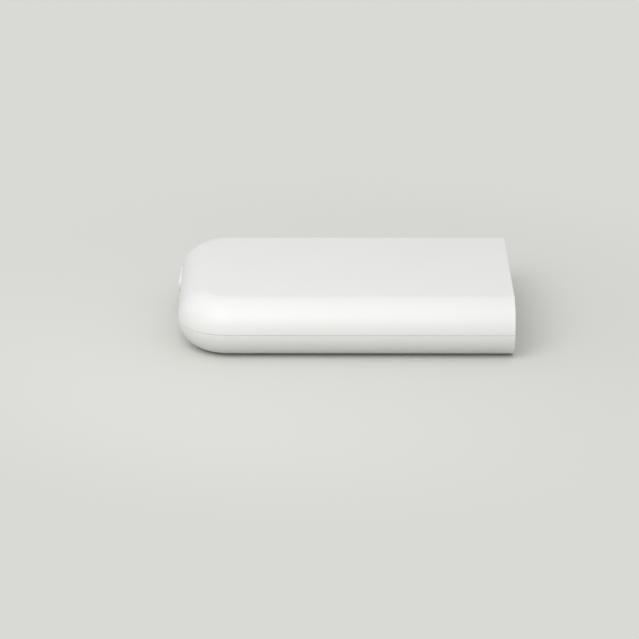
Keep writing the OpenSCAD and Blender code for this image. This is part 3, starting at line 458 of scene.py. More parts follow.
def film_cable(name, colour):
    """Amber film cable with copper conductors, which turn where the cable bends."""
    f = Finish(name, Coat_Weight=0.4, Coat_Roughness=0.14)
    where = f.where()
    x, y, z = f.parts(where)
    upright = z.part(UPRIGHT_PITCH).below(0.55)*x.below(BEND_X)
    level = x.part(LEVEL_PITCH).below(0.5)*x.above(BEND_X)
    stripe = (upright + level).smaller(1.0)
    soft = f.noise(where, scale=240)
    tone = f.blend(stripe*0.75, shade(colour, 1.0), CABLE_COPPER)
    tone = f.blend(soft*0.25, tone, shade(colour, 0.8))
    return f.feed(Base_Color=tone, Roughness=0.3 + soft*0.1, Metallic=stripe*0.3,
                  Normal=f.bump(stripe, strength=0.25, depth=2e-5))


def clear_tip(name, colour):
    """Frosted clear plastic."""
    f = Finish(name, Transmission_Weight=0.35, IOR=1.49, Subsurface_Weight=0.25,
               Subsurface_Radius=(0.0008, 0.0008, 0.0008))
    frost = f.noise(f.where(), scale=5200, detail=3.0)
    tone = f.tones(frost, colour, low=0.94, high=1.05)
    return f.feed(Base_Color=tone, Roughness=0.3 + frost*0.12,
                  Normal=f.bump(frost, strength=0.3, depth=5e-6))


def paper_floor():
    """Matt floor that keeps the shadow near the object and turns into the even backdrop further away."""
    made = bpy.data.materials.new("floor_paper")
    made.use_nodes = True
    made.node_tree.nodes.clear()
    f = Shading(made.node_tree)
    where = f.where()
    x, y, z = f.parts(where)
    fine = f.noise(where, FLOOR_GRAIN, detail=3.0, rough=0.6)
    seen = f.seen()
    # The floor's colour is painted lighter towards the back, away from the lamps, to make up for their
    # falloff there
    depth = y*(FLOOR_SLOPE/(2*FLOOR_SPREAD)) + 0.5
    tone = f.tones(depth, FLOOR_GREY, low=FLOOR_TRIM - FLOOR_SPREAD, high=FLOOR_TRIM + FLOOR_SPREAD)
    pale = f.node("BsdfDiffuse", {}, {"Color": f.blend(fine*0.02, tone, shade(FLOOR_GREY, 0.9))})
    dull = f.node("BsdfDiffuse", {}, {"Color": shade(FLOOR_GREY, FLOOR_BOUNCE)})
    even = f.node("Emission", {}, {"Color": (*FLOOR_GREY, 1), "Strength": 1.0})
    reach = f.node("VectorMath", {"operation": "LENGTH"}, {0: where}, out=1)
    far = f.node("MapRange", {"interpolation_type": "SMOOTHSTEP"},
                 {0: reach, 1: FLOOR_FADE[0], 2: FLOOR_FADE[1], 3: 0.0, 4: 1.0})
    lit = f.node("MixShader", {}, {0: seen, 1: dull, 2: pale})
    f.node("OutputMaterial", {}, {"Surface": f.node("MixShader", {}, {0: far*seen, 1: lit, 2: even})})
    return made


CASE_WHITE = (0.79, 0.79, 0.778)
# How each finish is made, its colour and what else it is given
FINISHES = {
    "case_white": (moulded, CASE_WHITE, dict(rough=0.46)),
    "bezel_white": (moulded, (0.74, 0.737, 0.72), dict(rough=0.5)),
    "button_white": (moulded, CASE_WHITE, dict(rough=0.42, grain=5000, depth=4e-6)),
    "tray_grey": (moulded, (0.36, 0.37, 0.38), dict(rough=0.55, grain=2600, depth=1.2e-5, drift=0.05)),
    "foot_rubber": (rubbery, (0.5, 0.5, 0.49), dict(rough=0.7)),
    "roller_rubber": (rubbery, (0.035, 0.035, 0.038), dict(rough=0.72, grain=1800, depth=4e-5)),
    "pad_cork": (cork, (0.3, 0.17, 0.08), dict()),
    "sheet_steel": (zinc_sheet, (0.56, 0.57, 0.58), dict()),
    "motor_steel": (brushed, (0.52, 0.53, 0.54), dict(rough=0.3, lines=(3600, 160, 3600))),
    "switch_steel": (brushed, (0.62, 0.62, 0.61), dict(rough=0.3, lines=(400, 3600, 3600))),
    "socket_steel": (brushed, (0.66, 0.66, 0.66),
                     dict(rough=0.2, lines=(300, 4200, 4200), strength=0.12)),
    "shaft_steel": (brushed, (0.62, 0.62, 0.63),
                    dict(rough=0.22, lines=(5200, 300, 5200), strength=0.18)),
    "spring_steel": (brushed, (0.42, 0.42, 0.44), dict(rough=0.3, lines=(900, 900, 4200))),
    "screw_steel": (brushed, (0.34, 0.34, 0.35), dict(rough=0.32, lines=(2200, 2200, 2200))),
    "gear_white": (acetal, (0.72, 0.72, 0.69), dict()),
    "gear_ivory": (acetal, (0.66, 0.59, 0.42), dict()),
    "bush_ivory": (acetal, (0.62, 0.59, 0.48), dict(rough=0.42)),
    "pinion_brass": (brushed, (0.62, 0.42, 0.14), dict(rough=0.24, lines=(300, 4800, 300))),
    "sink_aluminium": (brushed, (0.62, 0.63, 0.64), dict(rough=0.34, lines=(4200, 120, 4200))),
    "head_ceramic": (ceramic, (0.74, 0.72, 0.67), dict()),
    "board_green": (solder_mask, (0.018, 0.12, 0.05), dict()),
    "chip_black": (chip_epoxy, (0.022, 0.022, 0.024), dict()),
    "switch_black": (moulded, (0.025, 0.025, 0.027), dict(rough=0.42, shine=0.4)),
    "cell_foil": (pouch_foil, (0.5, 0.53, 0.56), dict()),
    "foam_black": (foam, (0.03, 0.03, 0.032), dict()),
    "wire_red": (insulation, (0.44, 0.02, 0.015), dict()),
    "wire_black": (insulation, (0.02, 0.02, 0.022), dict()),
    "cable_film": (film_cable, (0.44, 0.22, 0.05), dict()),
    "lamp_diffuser": (clear_tip, (0.78, 0.78, 0.75), dict()),
    "lamp_body": (clear_tip, (0.8, 0.76, 0.5), dict()),
}
made_finishes = {}


def finish(slot):
    """The finish of that name, made once."""
    if slot not in made_finishes:
        maker, colour, more = FINISHES[slot]
        made_finishes[slot] = maker(slot, colour, **more)
    return made_finishes[slot]


# Shaping tools, which take millimetres

AXES = "XYZ"
TURN_TO = {"X": (0, math.pi/2, 0), "Y": (math.pi/2, 0, 0), "Z": (0, 0, 0)}
NEAR = 3e-6
FLAT = 0.99
CLEAR = 1


def edit_mode():
    bpy.ops.object.mode_set(mode="EDIT")


def object_mode():
    bpy.ops.object.mode_set(mode="OBJECT")


def edit_all():
    edit_mode()
    bpy.ops.mesh.select_all(action="SELECT")


def deselect():
    if bpy.context.object and bpy.context.object.mode == "EDIT":
        object_mode()
    bpy.ops.object.select_all(action="DESELECT")


def only(obj):
    """Leaves obj alone selected and active."""
    deselect()
    obj.select_set(True)
    bpy.context.view_layer.objects.active = obj


def pick(obj, what, test):
    """Leaves selected, in edit mode, the edges or faces of obj whose place passes the test."""
    only(obj)
    edit_mode()
    bpy.ops.mesh.select_mode(type=what)
    bpy.ops.mesh.select_all(action="DESELECT")
    object_mode()
    spots = obj.data.vertices
    if what == "EDGE":
        for e in obj.data.edges:
            e.select = test(spots[e.vertices[0]].co, spots[e.vertices[1]].co)
    else:
        for p in obj.data.polygons:
            p.select = test(p.center, p.normal)
    edit_mode()


def at_level(axis, *levels):
    """Test for edges that lie across an axis at one of the levels."""
    return lambda a, b: any(abs(a[axis] - v*MM) < NEAR and abs(b[axis] - v*MM) < NEAR for v in levels)


def bevel(width, steps, clamp=True):
    """Rounds what is selected and leaves edit mode."""
    bpy.ops.mesh.bevel(offset=width*MM, segments=steps, affect="EDGES", clamp_overlap=clamp)
    object_mode()


def settle():
    """Puts the active object's place into its mesh."""
    bpy.ops.object.transform_apply(location=True, rotation=True, scale=True)
    return bpy.context.object


def block(lo, hi, edge=0.0, steps=2):
    """Block between two corners, with all its edges rounded."""
    deselect()
    bpy.ops.mesh.primitive_cube_add(size=1, location=[(a + b)/2*MM for a, b in zip(lo, hi)])
    piece = bpy.context.object
    piece.scale = [(b - a)*MM for a, b in zip(lo, hi)]
    settle()
    if edge:
        edit_all()
        bevel(edge, steps)
    return piece


def round_upright(piece, radius, steps=4):
    """Rounds the upright edges of a block."""
    pick(piece, "EDGE", lambda a, b: abs(a.x - b.x) < NEAR and abs(a.y - b.y) < NEAR)
    bevel(radius, steps)
    return piece


def rod(way, at, radius, a, b, edge=0.0, sides=32, steps=2):
    """Round bar along an axis from a to b, at its place on the other two, with rounded end edges."""
    axis = AXES.index(way)
    centre = list(at)
    centre.insert(axis, (a + b)/2)
    deselect()
    bpy.ops.mesh.primitive_cylinder_add(vertices=sides, radius=radius*MM, depth=(b - a)*MM,
                                        location=[v*MM for v in centre], rotation=TURN_TO[way])
    piece = settle()
    if edge:
        pick(piece, "EDGE", at_level(axis, a, b))
        bevel(edge, steps)
    return piece


def joined(pieces):
    """The pieces as one object."""
    only(pieces[0])
    for p in pieces:
        p.select_set(True)
    bpy.ops.object.join()
    return bpy.context.object


def moved_copy(piece, offset=(0, 0, 0)):
    """Copy of a piece, with its own mesh, at an offset from it."""
    only(piece)
    bpy.ops.object.duplicate()
    bpy.context.object.location = [v*MM for v in offset]
    return settle()


def spread(first, offsets):
    """Copies of a piece at the offsets, in its stead."""
    copies = [moved_copy(first, offset) for offset in offsets]
    bpy.data.objects.remove(first, do_unlink=True)
    return copies


def grid(x, y, columns, rows, dx, dy):
    """Places in columns and rows, the first one at x, y."""
    return [(x + dx*i, y + dy*j, 0) for j in range(rows) for i in range(columns)]


def cut(piece, *cutters, how="DIFFERENCE"):
    """Takes the cutters away from a piece, or joins them to it, and removes them."""
    for cutter in cutters:
        only(piece)
        mod = piece.modifiers.new("cut", "BOOLEAN")
        mod.operation = how
        mod.object = cutter
        mod.solver = "EXACT"
        bpy.ops.object.modifier_apply(modifier=mod.name)
        bpy.data.objects.remove(cutter, do_unlink=True)
    return piece


def copy_of(node):
    """Copy of a CAD node's mesh, merged, with its flat faces joined up."""
    piece = bpy.data.objects.new(node + "-part", NODES[node].data.copy())
    bpy.context.scene.collection.objects.link(piece)
    piece.data.materials.clear()
    only(piece)
    bpy.ops.mesh.customdata_custom_splitnormals_clear()
    edit_all()
    bpy.ops.mesh.remove_doubles(threshold=2e-6)
    bpy.ops.mesh.dissolve_limited(angle_limit=math.radians(0.15))
    object_mode()
    return piece


def soften(piece, width, angle=50, steps=2):
    """Rounds the sharp edges of a piece."""
    only(piece)
    mod = piece.modifiers.new("soften", "BEVEL")
    mod.limit_method = "ANGLE"
    mod.angle_limit = math.radians(angle)
    mod.width = width*MM
    mod.segments = steps
    mod.use_clamp_overlap = True
    bpy.ops.object.modifier_apply(modifier=mod.name)
    return piece


def smooth(piece, angle):
    """Smooth shading up to an angle, led by the larger faces."""
    only(piece)
    bpy.ops.object.shade_smooth_by_angle(angle=math.radians(angle))
    mod = piece.modifiers.new("even", "WEIGHTED_NORMAL")
    mod.keep_sharp = True
    mod.weight = 50
    bpy.ops.object.modifier_apply(modifier=mod.name)


def dress(piece, name, body, slot, *nodes, material=None, angle=35):
    """Names and smooths a finished piece, gives it its finish and its body, and hides the CAD nodes it stands
    for.
    """
    only(piece)
    settle()
    piece.name = name
    piece.data.name = name
    piece.data.materials.clear()
    piece.data.materials.append(material or finish(slot))
    for p in piece.data.polygons:
        p.material_index = 0
    smooth(piece, angle)
    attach(piece, body)
    if nodes:
        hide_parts(*nodes)


def dress_node(piece, node, angle=35):
    dress(piece, node + "-part", BODY_OF[node], SLOT_OF[node], node, angle=angle)


# Case

EXIT_X = corner("base_shell", HIGH)[X]
SEAM_Z, SEAM_GAP = 10.6, 0.25
SEAM_EDGES = {"top_cover": SEAM_Z + SEAM_GAP/2, "base_shell": SEAM_Z - SEAM_GAP/2}
EDGE_BREAK = 0.08
LIP_INSET, LIP_SLOPE, LIP_RISE = 0.2, 0.01, 0.13
BUTTON_AT, BUTTON_L, BUTTON_H, BUTTON_GAP = (16.5, 11.5), 16.0, 6.4, 0.25
BUTTON_CROWN, BUTTON_EDGE, OPENING_BREAK = 0.6, 0.1, 0.45
CAP_X, OPENING_X = -61.2, -60.5
OUTLINE_REACH = 0.02
# Skin of the round end, whose facets are cut at the lines so that openings don't bend their shading
SKIN_X, SKIN_LEAN = -58, -0.4
END_LINES = (-20.9, -19.1, -15.4, -4.7, 0.7, 3.3, 7.4)


def on_button_outline(grow, inner_x):
    """Test for edges on the button's outline, larger by grow, that lie further out than inner_x."""
    half = (BUTTON_L - BUTTON_H)/2*MM
    y0, z0 = (v*MM for v in BUTTON_AT)

    def on(co):
        past = max(0, abs(co.y - y0) - half)
        off = math.hypot(past, co.z - z0) - (BUTTON_H/2 + grow)*MM
        return co.x < inner_x*MM and abs(off) < OUTLINE_REACH*MM
    return lambda a, b: on(a) and on(b)


def case_half(node, lip=False):
    """Shell half with a fine break along its seam edge and flat-end rim, and a low seam lip if asked."""
    piece = copy_of(node)
    seam_edge = SEAM_EDGES[node]
    if lip:
        pick(piece, "FACE", lambda c, n: n.z > FLAT and abs(c.z - seam_edge*MM) < NEAR)
        bpy.ops.mesh.inset(thickness=LIP_INSET*MM)
        bpy.ops.mesh.inset(thickness=LIP_SLOPE*MM, depth=LIP_RISE*MM)
        object_mode()
    for y in END_LINES:
        pick(piece, "FACE", lambda c, n: c.x < SKIN_X*MM and n.x < SKIN_LEAN)
        bpy.ops.mesh.bisect(plane_co=(0, y*MM, 0), plane_no=(0, 1, 0))
        object_mode()
    pick(piece, "EDGE", on_button_outline(BUTTON_GAP, OPENING_X))
    bevel(OPENING_BREAK, 3)
    on_seam, on_end = at_level(Z, seam_edge), at_level(X, EXIT_X)
    pick(piece, "EDGE", lambda a, b: on_seam(a, b) or on_end(a, b))
    bevel(EDGE_BREAK, 2)
    dress_node(piece, node, angle=32)


def button():
    """Cap with a softly rounded rim."""
    cap = copy_of("power_button")
    pick(cap, "EDGE", on_button_outline(0, CAP_X))
    bevel(BUTTON_CROWN, 5)
    dress_node(soften(cap, BUTTON_EDGE), "power_button", angle=40)


# CAD nodes whose shape is right, with the width at which their sharp edges are broken
SOFTENED = {
    "exit_bezel": 0.2, "paper_tray": 0.15, "engine_frame": 0.07, "heat_sink": 0.15,
    "spring_bridge": 0.14, "thermal_head": 0.1, "pressure_plate": 0.12, "separation_pad": 0.15,
    "paper_sensor": 0.2, "pickup_rollers": 0.35, "platen_sleeve": 0.3, "exit_rollers": 0.3,
    "pinch_rollers": 0.25, "usb_socket": 0.08, "usb_tongue": 0.08, "main_board": 0.05,
    "shaft_bushes": 0.1, "gear_studs": 0.1, "platen_shaft": 0.25, "pickup_shaft": 0.25,
    "exit_shaft": 0.25, "pinch_shaft": 0.2, "head_pins": 0.15, "plate_pins": 0.15, "motor_shaft": 0.2,
    "brake_springs": 0.04, "switch_plunger": 0.2, "reset_plunger": 0.15, "light_pipe": 0.1}


def soft_nodes():
    for node, width in SOFTENED.items():
        dress_node(soften(copy_of(node), width), node)


# Gears

# Radius of the hub and inner radius of the rim
GEARS = {
    "platen_gear": (1.9, 3.7), "pickup_gear": (1.9, 4.1), "exit_gear": (1.65, 1.95),
    "feed_idler": (1.6, 2.5), "exit_idler": (1.6, 2.1), "reduction_gear": (1.7, 4.5)}
WEB_DEPTH, WEB_LEAST, WEB_SIDES = 0.55, 0.35, 48


def ring(at, inner, outer, a, b):
    """Flat ring round an axis along Y, as a cutter."""
    return cut(rod("Y", at, outer, a, b, sides=WEB_SIDES),
               rod("Y", at, inner, a - CLEAR, b + CLEAR, sides=WEB_SIDES))


def gear_wheels():
    """Gears with a sunk web between rim and hub on the outer face, where there is room for one."""
    for node, (hub, rim) in GEARS.items():
        wheel = copy_of(node)
        face = corner(node, HIGH)[Y]
        if rim - hub > WEB_LEAST:
            cut(wheel, ring(axis_at(node), hub, rim, face - WEB_DEPTH, face + CLEAR))
        dress_node(wheel, node, angle=30)
    dress_node(copy_of("motor_pinion"), "motor_pinion", angle=30)


# Springs

PLATE_SPRING_TOP, HEAD_SPRING_TOP = 20.45, 19.25
# Place in Y of one of the pair, mean radius, foot, top and number of turns
PLATE_SPRING = (8.0, 2.0, 16.25, PLATE_SPRING_TOP, 4.5)
HEAD_SPRING = (18.0, 1.7, 16.85, HEAD_SPRING_TOP, 3.25)
SPRING_WIRE_R, SPRING_SIDES, TURN_STEPS = 0.2, 10, 30


def coil(x, y, mean_r, z0, z1, turns):
    """Coil spring round an upright axis, swept from one round section, with closed ends."""
    deselect()
    bpy.ops.mesh.primitive_circle_add(vertices=SPRING_SIDES, radius=SPRING_WIRE_R*MM, rotation=TURN_TO["Y"],
                                      location=(mean_r*MM, 0, (z0 + SPRING_WIRE_R)*MM))
    piece = settle()
    mod = piece.modifiers.new("wind", "SCREW")
    mod.axis = "Z"
    mod.angle = 2*math.pi*turns
    mod.screw_offset = (z1 - z0 - 2*SPRING_WIRE_R)*MM
    mod.steps = mod.render_steps = round(TURN_STEPS*turns)
    mod.use_merge_vertices = False
    bpy.ops.object.modifier_apply(modifier=mod.name)
    edit_all()
    bpy.ops.mesh.fill_holes(sides=0)
    bpy.ops.mesh.select_all(action="SELECT")
    bpy.ops.mesh.normals_make_consistent(inside=False)
    object_mode()
    piece.location = (x*MM, y*MM, 0)
    return settle()


def coil_pair(node, y, mean_r, foot, top, turns):
    """Two springs alike, one at y and one at -y."""
    return joined([coil(axis_at(node)[0], side*y, mean_r, foot, top, turns) for side in (-1, 1)])


def coil_springs():
    """Springs over the pressure plate and over the print head, squashed toward their tops."""
    pair = coil_pair("plate_springs", *PLATE_SPRING)
    dress(pair, "plate-coils", "cover", "spring_steel", "plate_springs", angle=60)
    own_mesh(pair)
    pair = coil_pair("head_springs", *HEAD_SPRING)
    dress(pair, "head-coils", "base", "spring_steel", "head_springs", angle=60)
    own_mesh(pair)


# Screws and feet

# Diameter, height of the seat, depth below it, height of the head, and places in X and Y
SCREW_SETS = {
    "tray_screws": (1.6, 15.0, 5.8, 0.8, ((-35.32, 33.6), (-35.32, -33.6), (8.0, 33.6), (38.0, -33.6))),
    "frame_screws": (1.4, 3.7, 2.2, 0.8, ((30.0, -26.0), (30.0, 26.0), (55.0, 0.0))),
    "board_screws": (1.4, 6.6, 3.2, 0.8, ((-50.02, -27.36), (-50.02, 27.36), (-41.62, 8.0)))}
# Shares of the diameter, of the head's radius and of its height
HEAD_SHARE, POINT_SHARE = 1.1, 0.28
CROSS_ARM, CROSS_HALF = 0.62, 0.15
CROWN_SHARE, CROSS_DEEP = 0.42, 0.62
SCREW_OVERLAP, SCREW_EDGE = 0.1, 0.04
SCREW_TURN = math.radians(24)
FOOT_PLACES = [(x, y, 0) for x in (-40, 40) for y in (-26, 26)]
FOOT_R, FOOT_H, FOOT_EDGE = 3.2, 0.9, 0.14
DIMPLE_RIM, DIMPLE_SLOPE, DIMPLE_DEPTH = 0.5, 0.08, 0.1


def screw_piece(d, z, depth, head_t):
    """Pan-head screw on the Z axis with a cross recess and a blunt point."""
    head_r, top = HEAD_SHARE*d, z + head_t
    head = rod("Z", (0, 0), head_r, z, top, sides=40)
    pick(head, "EDGE", at_level(Z, top))
    bevel(CROWN_SHARE*head_t, 4, clamp=False)
    arm, half, floor = CROSS_ARM*head_r, CROSS_HALF*head_r, top - CROSS_DEEP*head_t
    cross = block((-arm, -half, floor), (arm, half, top + CLEAR))
    cut(cross, block((-half, -arm, floor), (half, arm, top + CLEAR)), how="UNION")
    cut(head, cross)
    soften(head, SCREW_EDGE, 55, 1)
    shank = rod("Z", (0, 0), d/2, z - depth, z + SCREW_OVERLAP, edge=POINT_SHARE*d, sides=24)
    return joined([head, shank])


def screws():
    """Each set is one screw, copied."""
    for node, (d, z, depth, head_t, places) in SCREW_SETS.items():
        first = screw_piece(d, z, depth, head_t)
        first.rotation_euler = (0, 0, SCREW_TURN)
        only(first)
        settle()
        every = joined(spread(first, [(x, y, 0) for x, y in places]))
        dress(every, node + "-part", "base", "screw_steel", node)


def feet():
    """Round rubber feet with a rolled edge and a shallow dimple."""
    first = rod("Z", (0, 0), FOOT_R, 0.0, FOOT_H, edge=FOOT_EDGE, sides=48, steps=3)
    pick(first, "FACE", lambda c, n: n.z < -FLAT and c.z < NEAR)
    bpy.ops.mesh.inset(thickness=DIMPLE_RIM*MM)
    bpy.ops.mesh.inset(thickness=DIMPLE_SLOPE*MM, depth=-DIMPLE_DEPTH*MM)
    object_mode()
    dress(joined(spread(first, FOOT_PLACES)), "feet-part", "base", "foot_rubber", "rubber_feet")


# Main board

BOARD_TOP = corner("main_board", HIGH)[Z]
CAN_LOW, CAN_HIGH = (-49.5, -21.9, BOARD_TOP), (-41.3, -8.0, BOARD_TOP + 1.6)
CAN_CORNER, CAN_EDGE = 0.5, 0.22
CAN_HOLE_R, CAN_HOLE_DEPTH = 0.24, 0.25
CAN_HOLES = [(-48.2 + 1.15*i, -20.4 + 5.4*j) for i in range(6) for j in range(3)]
FENCE_STEP, FENCE_H, FENCE_CORNER = 0.15, 0.35, 0.6
# Near corner, size, legs on each long side and their pitch
CHIPS = (
    ((-51.2, 19.3), (3.9, 2.4, 1.2), 0, 0.5), ((-47.9, -3.3), (3.9, 4.2, 0.9), 7, 0.5),
    ((-46.6, 3.2), (1.5, 1.3, 0.7), 2, 0.8), ((-46.6, 5.6), (1.5, 1.3, 0.7), 2, 0.8),
    ((-52.6, 6.4), (1.5, 1.3, 0.7), 2, 0.8))
CHIP_EDGE = 0.08
PIN_ONE_STEP, PIN_ONE_R, PIN_ONE_DEPTH = 0.55, 0.22, 0.06
LEG_REACH, LEG_ROOT, LEG_HALF, LEG_H, LEG_EDGE = 0.42, 0.1, 0.11, 0.16, 0.03
SMALL_PART, SMALL_EDGE = (0.5, 0.28, BOARD_TOP + 0.26), 0.04
SMALL_PLACES = (grid(-50.5, 11.4, 4, 4, 1.1, 0.75) + grid(-43.0, -2.6, 1, 6, 0, 0.8)
                + grid(-51.6, -20, 1, 9, 0, 1.3) + grid(-45.5, 23.2, 4, 3, 1.1, 0.8))
# From x to x, from y to y, and height
PLUGS = (
    (-41.82, -38.62, -7.7, -2.7, 1.8), (-41.82, -38.62, 26.3, 31.3, 1.8),
    (-41.2, -38.62, -34.9, -28.8, 1.3))
PLUG_BACK, PLUG_CHEEK, PLUG_FLOOR, PLUG_ROOF, PLUG_EDGE = 0.9, 0.5, 0.4, 0.35, 0.08
KEYWAY_X, KEYWAY_Y, KEYWAY_DEPTH = (0.5, 1.4), 1.2, 0.5


def shield_can():
    """Pressed shield over the radio part, with rounded edges and rows of holes, in a low fence."""
    can = round_upright(block(CAN_LOW, CAN_HIGH), CAN_CORNER)
    pick(can, "FACE", lambda c, n: n.z > FLAT)
    bevel(CAN_EDGE, 3, clamp=False)
    top = CAN_HIGH[Z]
    holes = [rod("Z", at, CAN_HOLE_R, top - CAN_HOLE_DEPTH, top + CLEAR, sides=12) for at in CAN_HOLES]
    cut(can, joined(holes))
    fence = block((CAN_LOW[X] - FENCE_STEP, CAN_LOW[Y] - FENCE_STEP, BOARD_TOP),
                  (CAN_HIGH[X] + FENCE_STEP, CAN_HIGH[Y] + FENCE_STEP, BOARD_TOP + FENCE_H))
    return joined([can, round_upright(fence, FENCE_CORNER)])


def chip(corner, size, legs, pitch):
    """Moulded chip with a pin-one dimple; returns its body and its legs."""
    lo = (*corner, BOARD_TOP)
    hi = [a + b for a, b in zip(lo, size)]
    body = soften(block(lo, hi), CHIP_EDGE)
    cut(body, rod("Z", (lo[X] + PIN_ONE_STEP, lo[Y] + PIN_ONE_STEP), PIN_ONE_R, hi[Z] - PIN_ONE_DEPTH,
                  hi[Z] + CLEAR, sides=16))
    if not legs:
        return body, []
    one = block((lo[X] - LEG_REACH, -LEG_HALF, BOARD_TOP),
                (lo[X] + LEG_ROOT, LEG_HALF, BOARD_TOP + LEG_H), LEG_EDGE)
    across = size[X] + LEG_REACH - LEG_ROOT
    first = (lo[Y] + hi[Y])/2 - (legs - 1)*pitch/2
    return body, spread(one, [(step, first + i*pitch, 0) for i in range(legs) for step in (0, across)])


def plug_housing(x0, x1, y0, y1, h):
    """Low wire-to-board connector: a box that is open at one end, with a keyway in its roof."""
    top = BOARD_TOP + h
    body = block((x0, y0, BOARD_TOP), (x1, y1, top))
    cut(body, block((x0 + PLUG_BACK, y0 + PLUG_CHEEK, BOARD_TOP + PLUG_FLOOR),
                    (x1 + CLEAR, y1 - PLUG_CHEEK, top - PLUG_ROOF)))
    cut(body, block((x0 + KEYWAY_X[0], y0 + KEYWAY_Y, top - KEYWAY_DEPTH),
                    (x0 + KEYWAY_X[1], y1 - KEYWAY_Y, top + CLEAR)))
    return soften(body, PLUG_EDGE)


def board_pieces():
    """What stands on the main board."""
    dress(shield_can(), "shield-can", "base", "switch_steel")
    bodies, legs = [], []
    for numbers in CHIPS:
        body, some = chip(*numbers)
        bodies.append(body)
        legs += some
    dress(joined(bodies), "board-chips", "base", "chip_black", "board_parts")
    small = block((0, 0, BOARD_TOP), SMALL_PART, SMALL_EDGE)
    dress(joined(spread(small, SMALL_PLACES)), "board-chip-parts", "base", "bush_ivory")
    dress(joined(legs), "board-legs", "base", "socket_steel")
    dress(joined([plug_housing(*numbers) for numbers in PLUGS]), "board-plugs", "base", "bush_ivory")


# Switches, lamp and socket

# Radius of each switch's plunger
SWITCHES = {"power_switch": 0.9, "reset_switch": 0.6}
PLUNGER_Z, PLUNGER_GAP, PLUNGER_WELL = 8.1, 0.06, 1.3
SWITCH_INSET, SWITCH_BACK_INSET, SWITCH_TOP_INSET, SWITCH_BASE_EDGE = 0.15, 0.12, 0.16, 0.08
SHEET, SKIRT, WINDOW_SIDE, WINDOW_TOP, SHEET_EDGE = 0.14, 0.35, 0.7, 0.9, 0.07
BACK_CUT = 0.3
TAB_X, TAB_HALF, TAB_H, TAB_EDGE = (0.9, 1.9), 0.25, 0.2, 0.05
LAMP_BACK, LAMP_EDGE = -53.5, 0.08
LAMP_PAD_X, LAMP_PAD_W, LAMP_PAD_H, LAMP_PAD_EDGE = (-54.5, -53.3), 0.36, 0.3, 0.05
LAMP_PAD_Y = (1.02, 2.62)
CONTACT_LOW, CONTACT_HIGH, CONTACT_EDGE = (-59.0, -0.13, 8.43), (-57.2, 0.13, 8.47), 0.015
CONTACT_Y, CONTACT_PITCH, CONTACTS, TONGUE_DROP = -12.0, 0.5, 9, -0.6


def side_switch(node, plunger_r):
    """Side-pressed switch: black base, and steel cover with a window in its back and two solder tabs."""
    x0, y0, z0 = corner(node, LOW)
    x1, y1, z1 = corner(node, HIGH)
    base = block((x0 + SWITCH_INSET, y0 + SWITCH_INSET, z0),
                 (x1 - SWITCH_BACK_INSET, y1 - SWITCH_INSET, z1 - SWITCH_TOP_INSET), SWITCH_BASE_EDGE)
    well = rod("X", ((y0 + y1)/2, PLUNGER_Z), plunger_r + PLUNGER_GAP, x0 - CLEAR, x0 + PLUNGER_WELL)
    cut(base, moved_copy(well))
    cover = block((x0, y0, z0 + SKIRT), (x1, y1, z1))
    cut(cover, block((x0 + SHEET, y0 + SHEET, z0 - CLEAR), (x1 - SHEET, y1 - SHEET, z1 - SHEET)))
    cut(cover, well)
    cut(cover, block((x1 - BACK_CUT, y0 + WINDOW_SIDE, z0), (x1 + CLEAR, y1 - WINDOW_SIDE, z1 - WINDOW_TOP)))
    tabs = [block((x0 + TAB_X[0], side - TAB_HALF, z0),
                  (x0 + TAB_X[1], side + TAB_HALF, z0 + TAB_H), TAB_EDGE) for side in (y0, y1)]
    return base, joined([soften(cover, SHEET_EDGE)] + tabs)


def switches():
    for node, plunger_r in SWITCHES.items():
        base, cover = side_switch(node, plunger_r)
        dress(cover, node + "-cover", "base", "switch_steel", node)
        dress(base, node + "-base", "base", "switch_black")


def lamp():
    """Side-shining lamp on two solder pads."""
    lo, hi = corner("status_lamp", LOW), corner("status_lamp", HIGH)
    dress(block(lo, (LAMP_BACK, *hi[Y:]), LAMP_EDGE), "lamp-part", "base", "lamp_body", "status_lamp")
    pads = [block((LAMP_PAD_X[0], y, BOARD_TOP),
                  (LAMP_PAD_X[1], y + LAMP_PAD_W, BOARD_TOP + LAMP_PAD_H), LAMP_PAD_EDGE) for y in LAMP_PAD_Y]
    dress(joined(pads), "lamp-pads", "base", "socket_steel")


def socket_contacts():
    """Rows of contacts on both faces of the socket's tongue."""
    one = block(CONTACT_LOW, CONTACT_HIGH, CONTACT_EDGE)
    rows = [(0, CONTACT_Y + CONTACT_PITCH*i, step) for i in range(CONTACTS) for step in (0, TONGUE_DROP)]
    dress(joined(spread(one, rows)), "socket-contacts", "base", "pinion_brass")


# Battery

CELL_GAP = 0.6
CELL_SIDE, CELL_CORNER, CELL_SHOULDER = 0.25, 1.6, 1.1
SEAL_IN, SEAL_HALF, SEAL_END, SEAL_LOW, SEAL_HIGH, SEAL_EDGE = 0.15, 0.14, 1.8, 1.2, 1.3, 0.1
TAPE_OUT, TAPE_REACH, TAPE_SIDE, TAPE_DROP, TAPE_EDGE = 0.03, 5.2, 4, 3.4, 0.5
CIRCUIT_LOW, CIRCUIT_HIGH, CIRCUIT_EDGE = (-33.0, -8.66, 3.2), (-32.52, 8.66, 8.0), 0.05
CIRCUIT_CHIPS = ((-6.2, 1.6), (-1.4, 2.6), (3.6, 1.6))
CIRCUIT_CHIP_X, CIRCUIT_CHIP_Z, CIRCUIT_CHIP_EDGE = (-33.55, -32.95), (4.6, 6.6), 0.07
CELL_TABS, CELL_TAB_W = (-7.9, 6.3), 1.6
CELL_TAB_X, CELL_TAB_Z, CELL_TAB_EDGE = (-33.3, -32.9), (6.8, 7.9), 0.05
SOLDER_Y, SOLDER_HALF = (-6.4, -4.0), 0.5
SOLDER_X, SOLDER_Z, SOLDER_EDGE = (-33.78, -32.95), (6.9, 8.0), 0.25


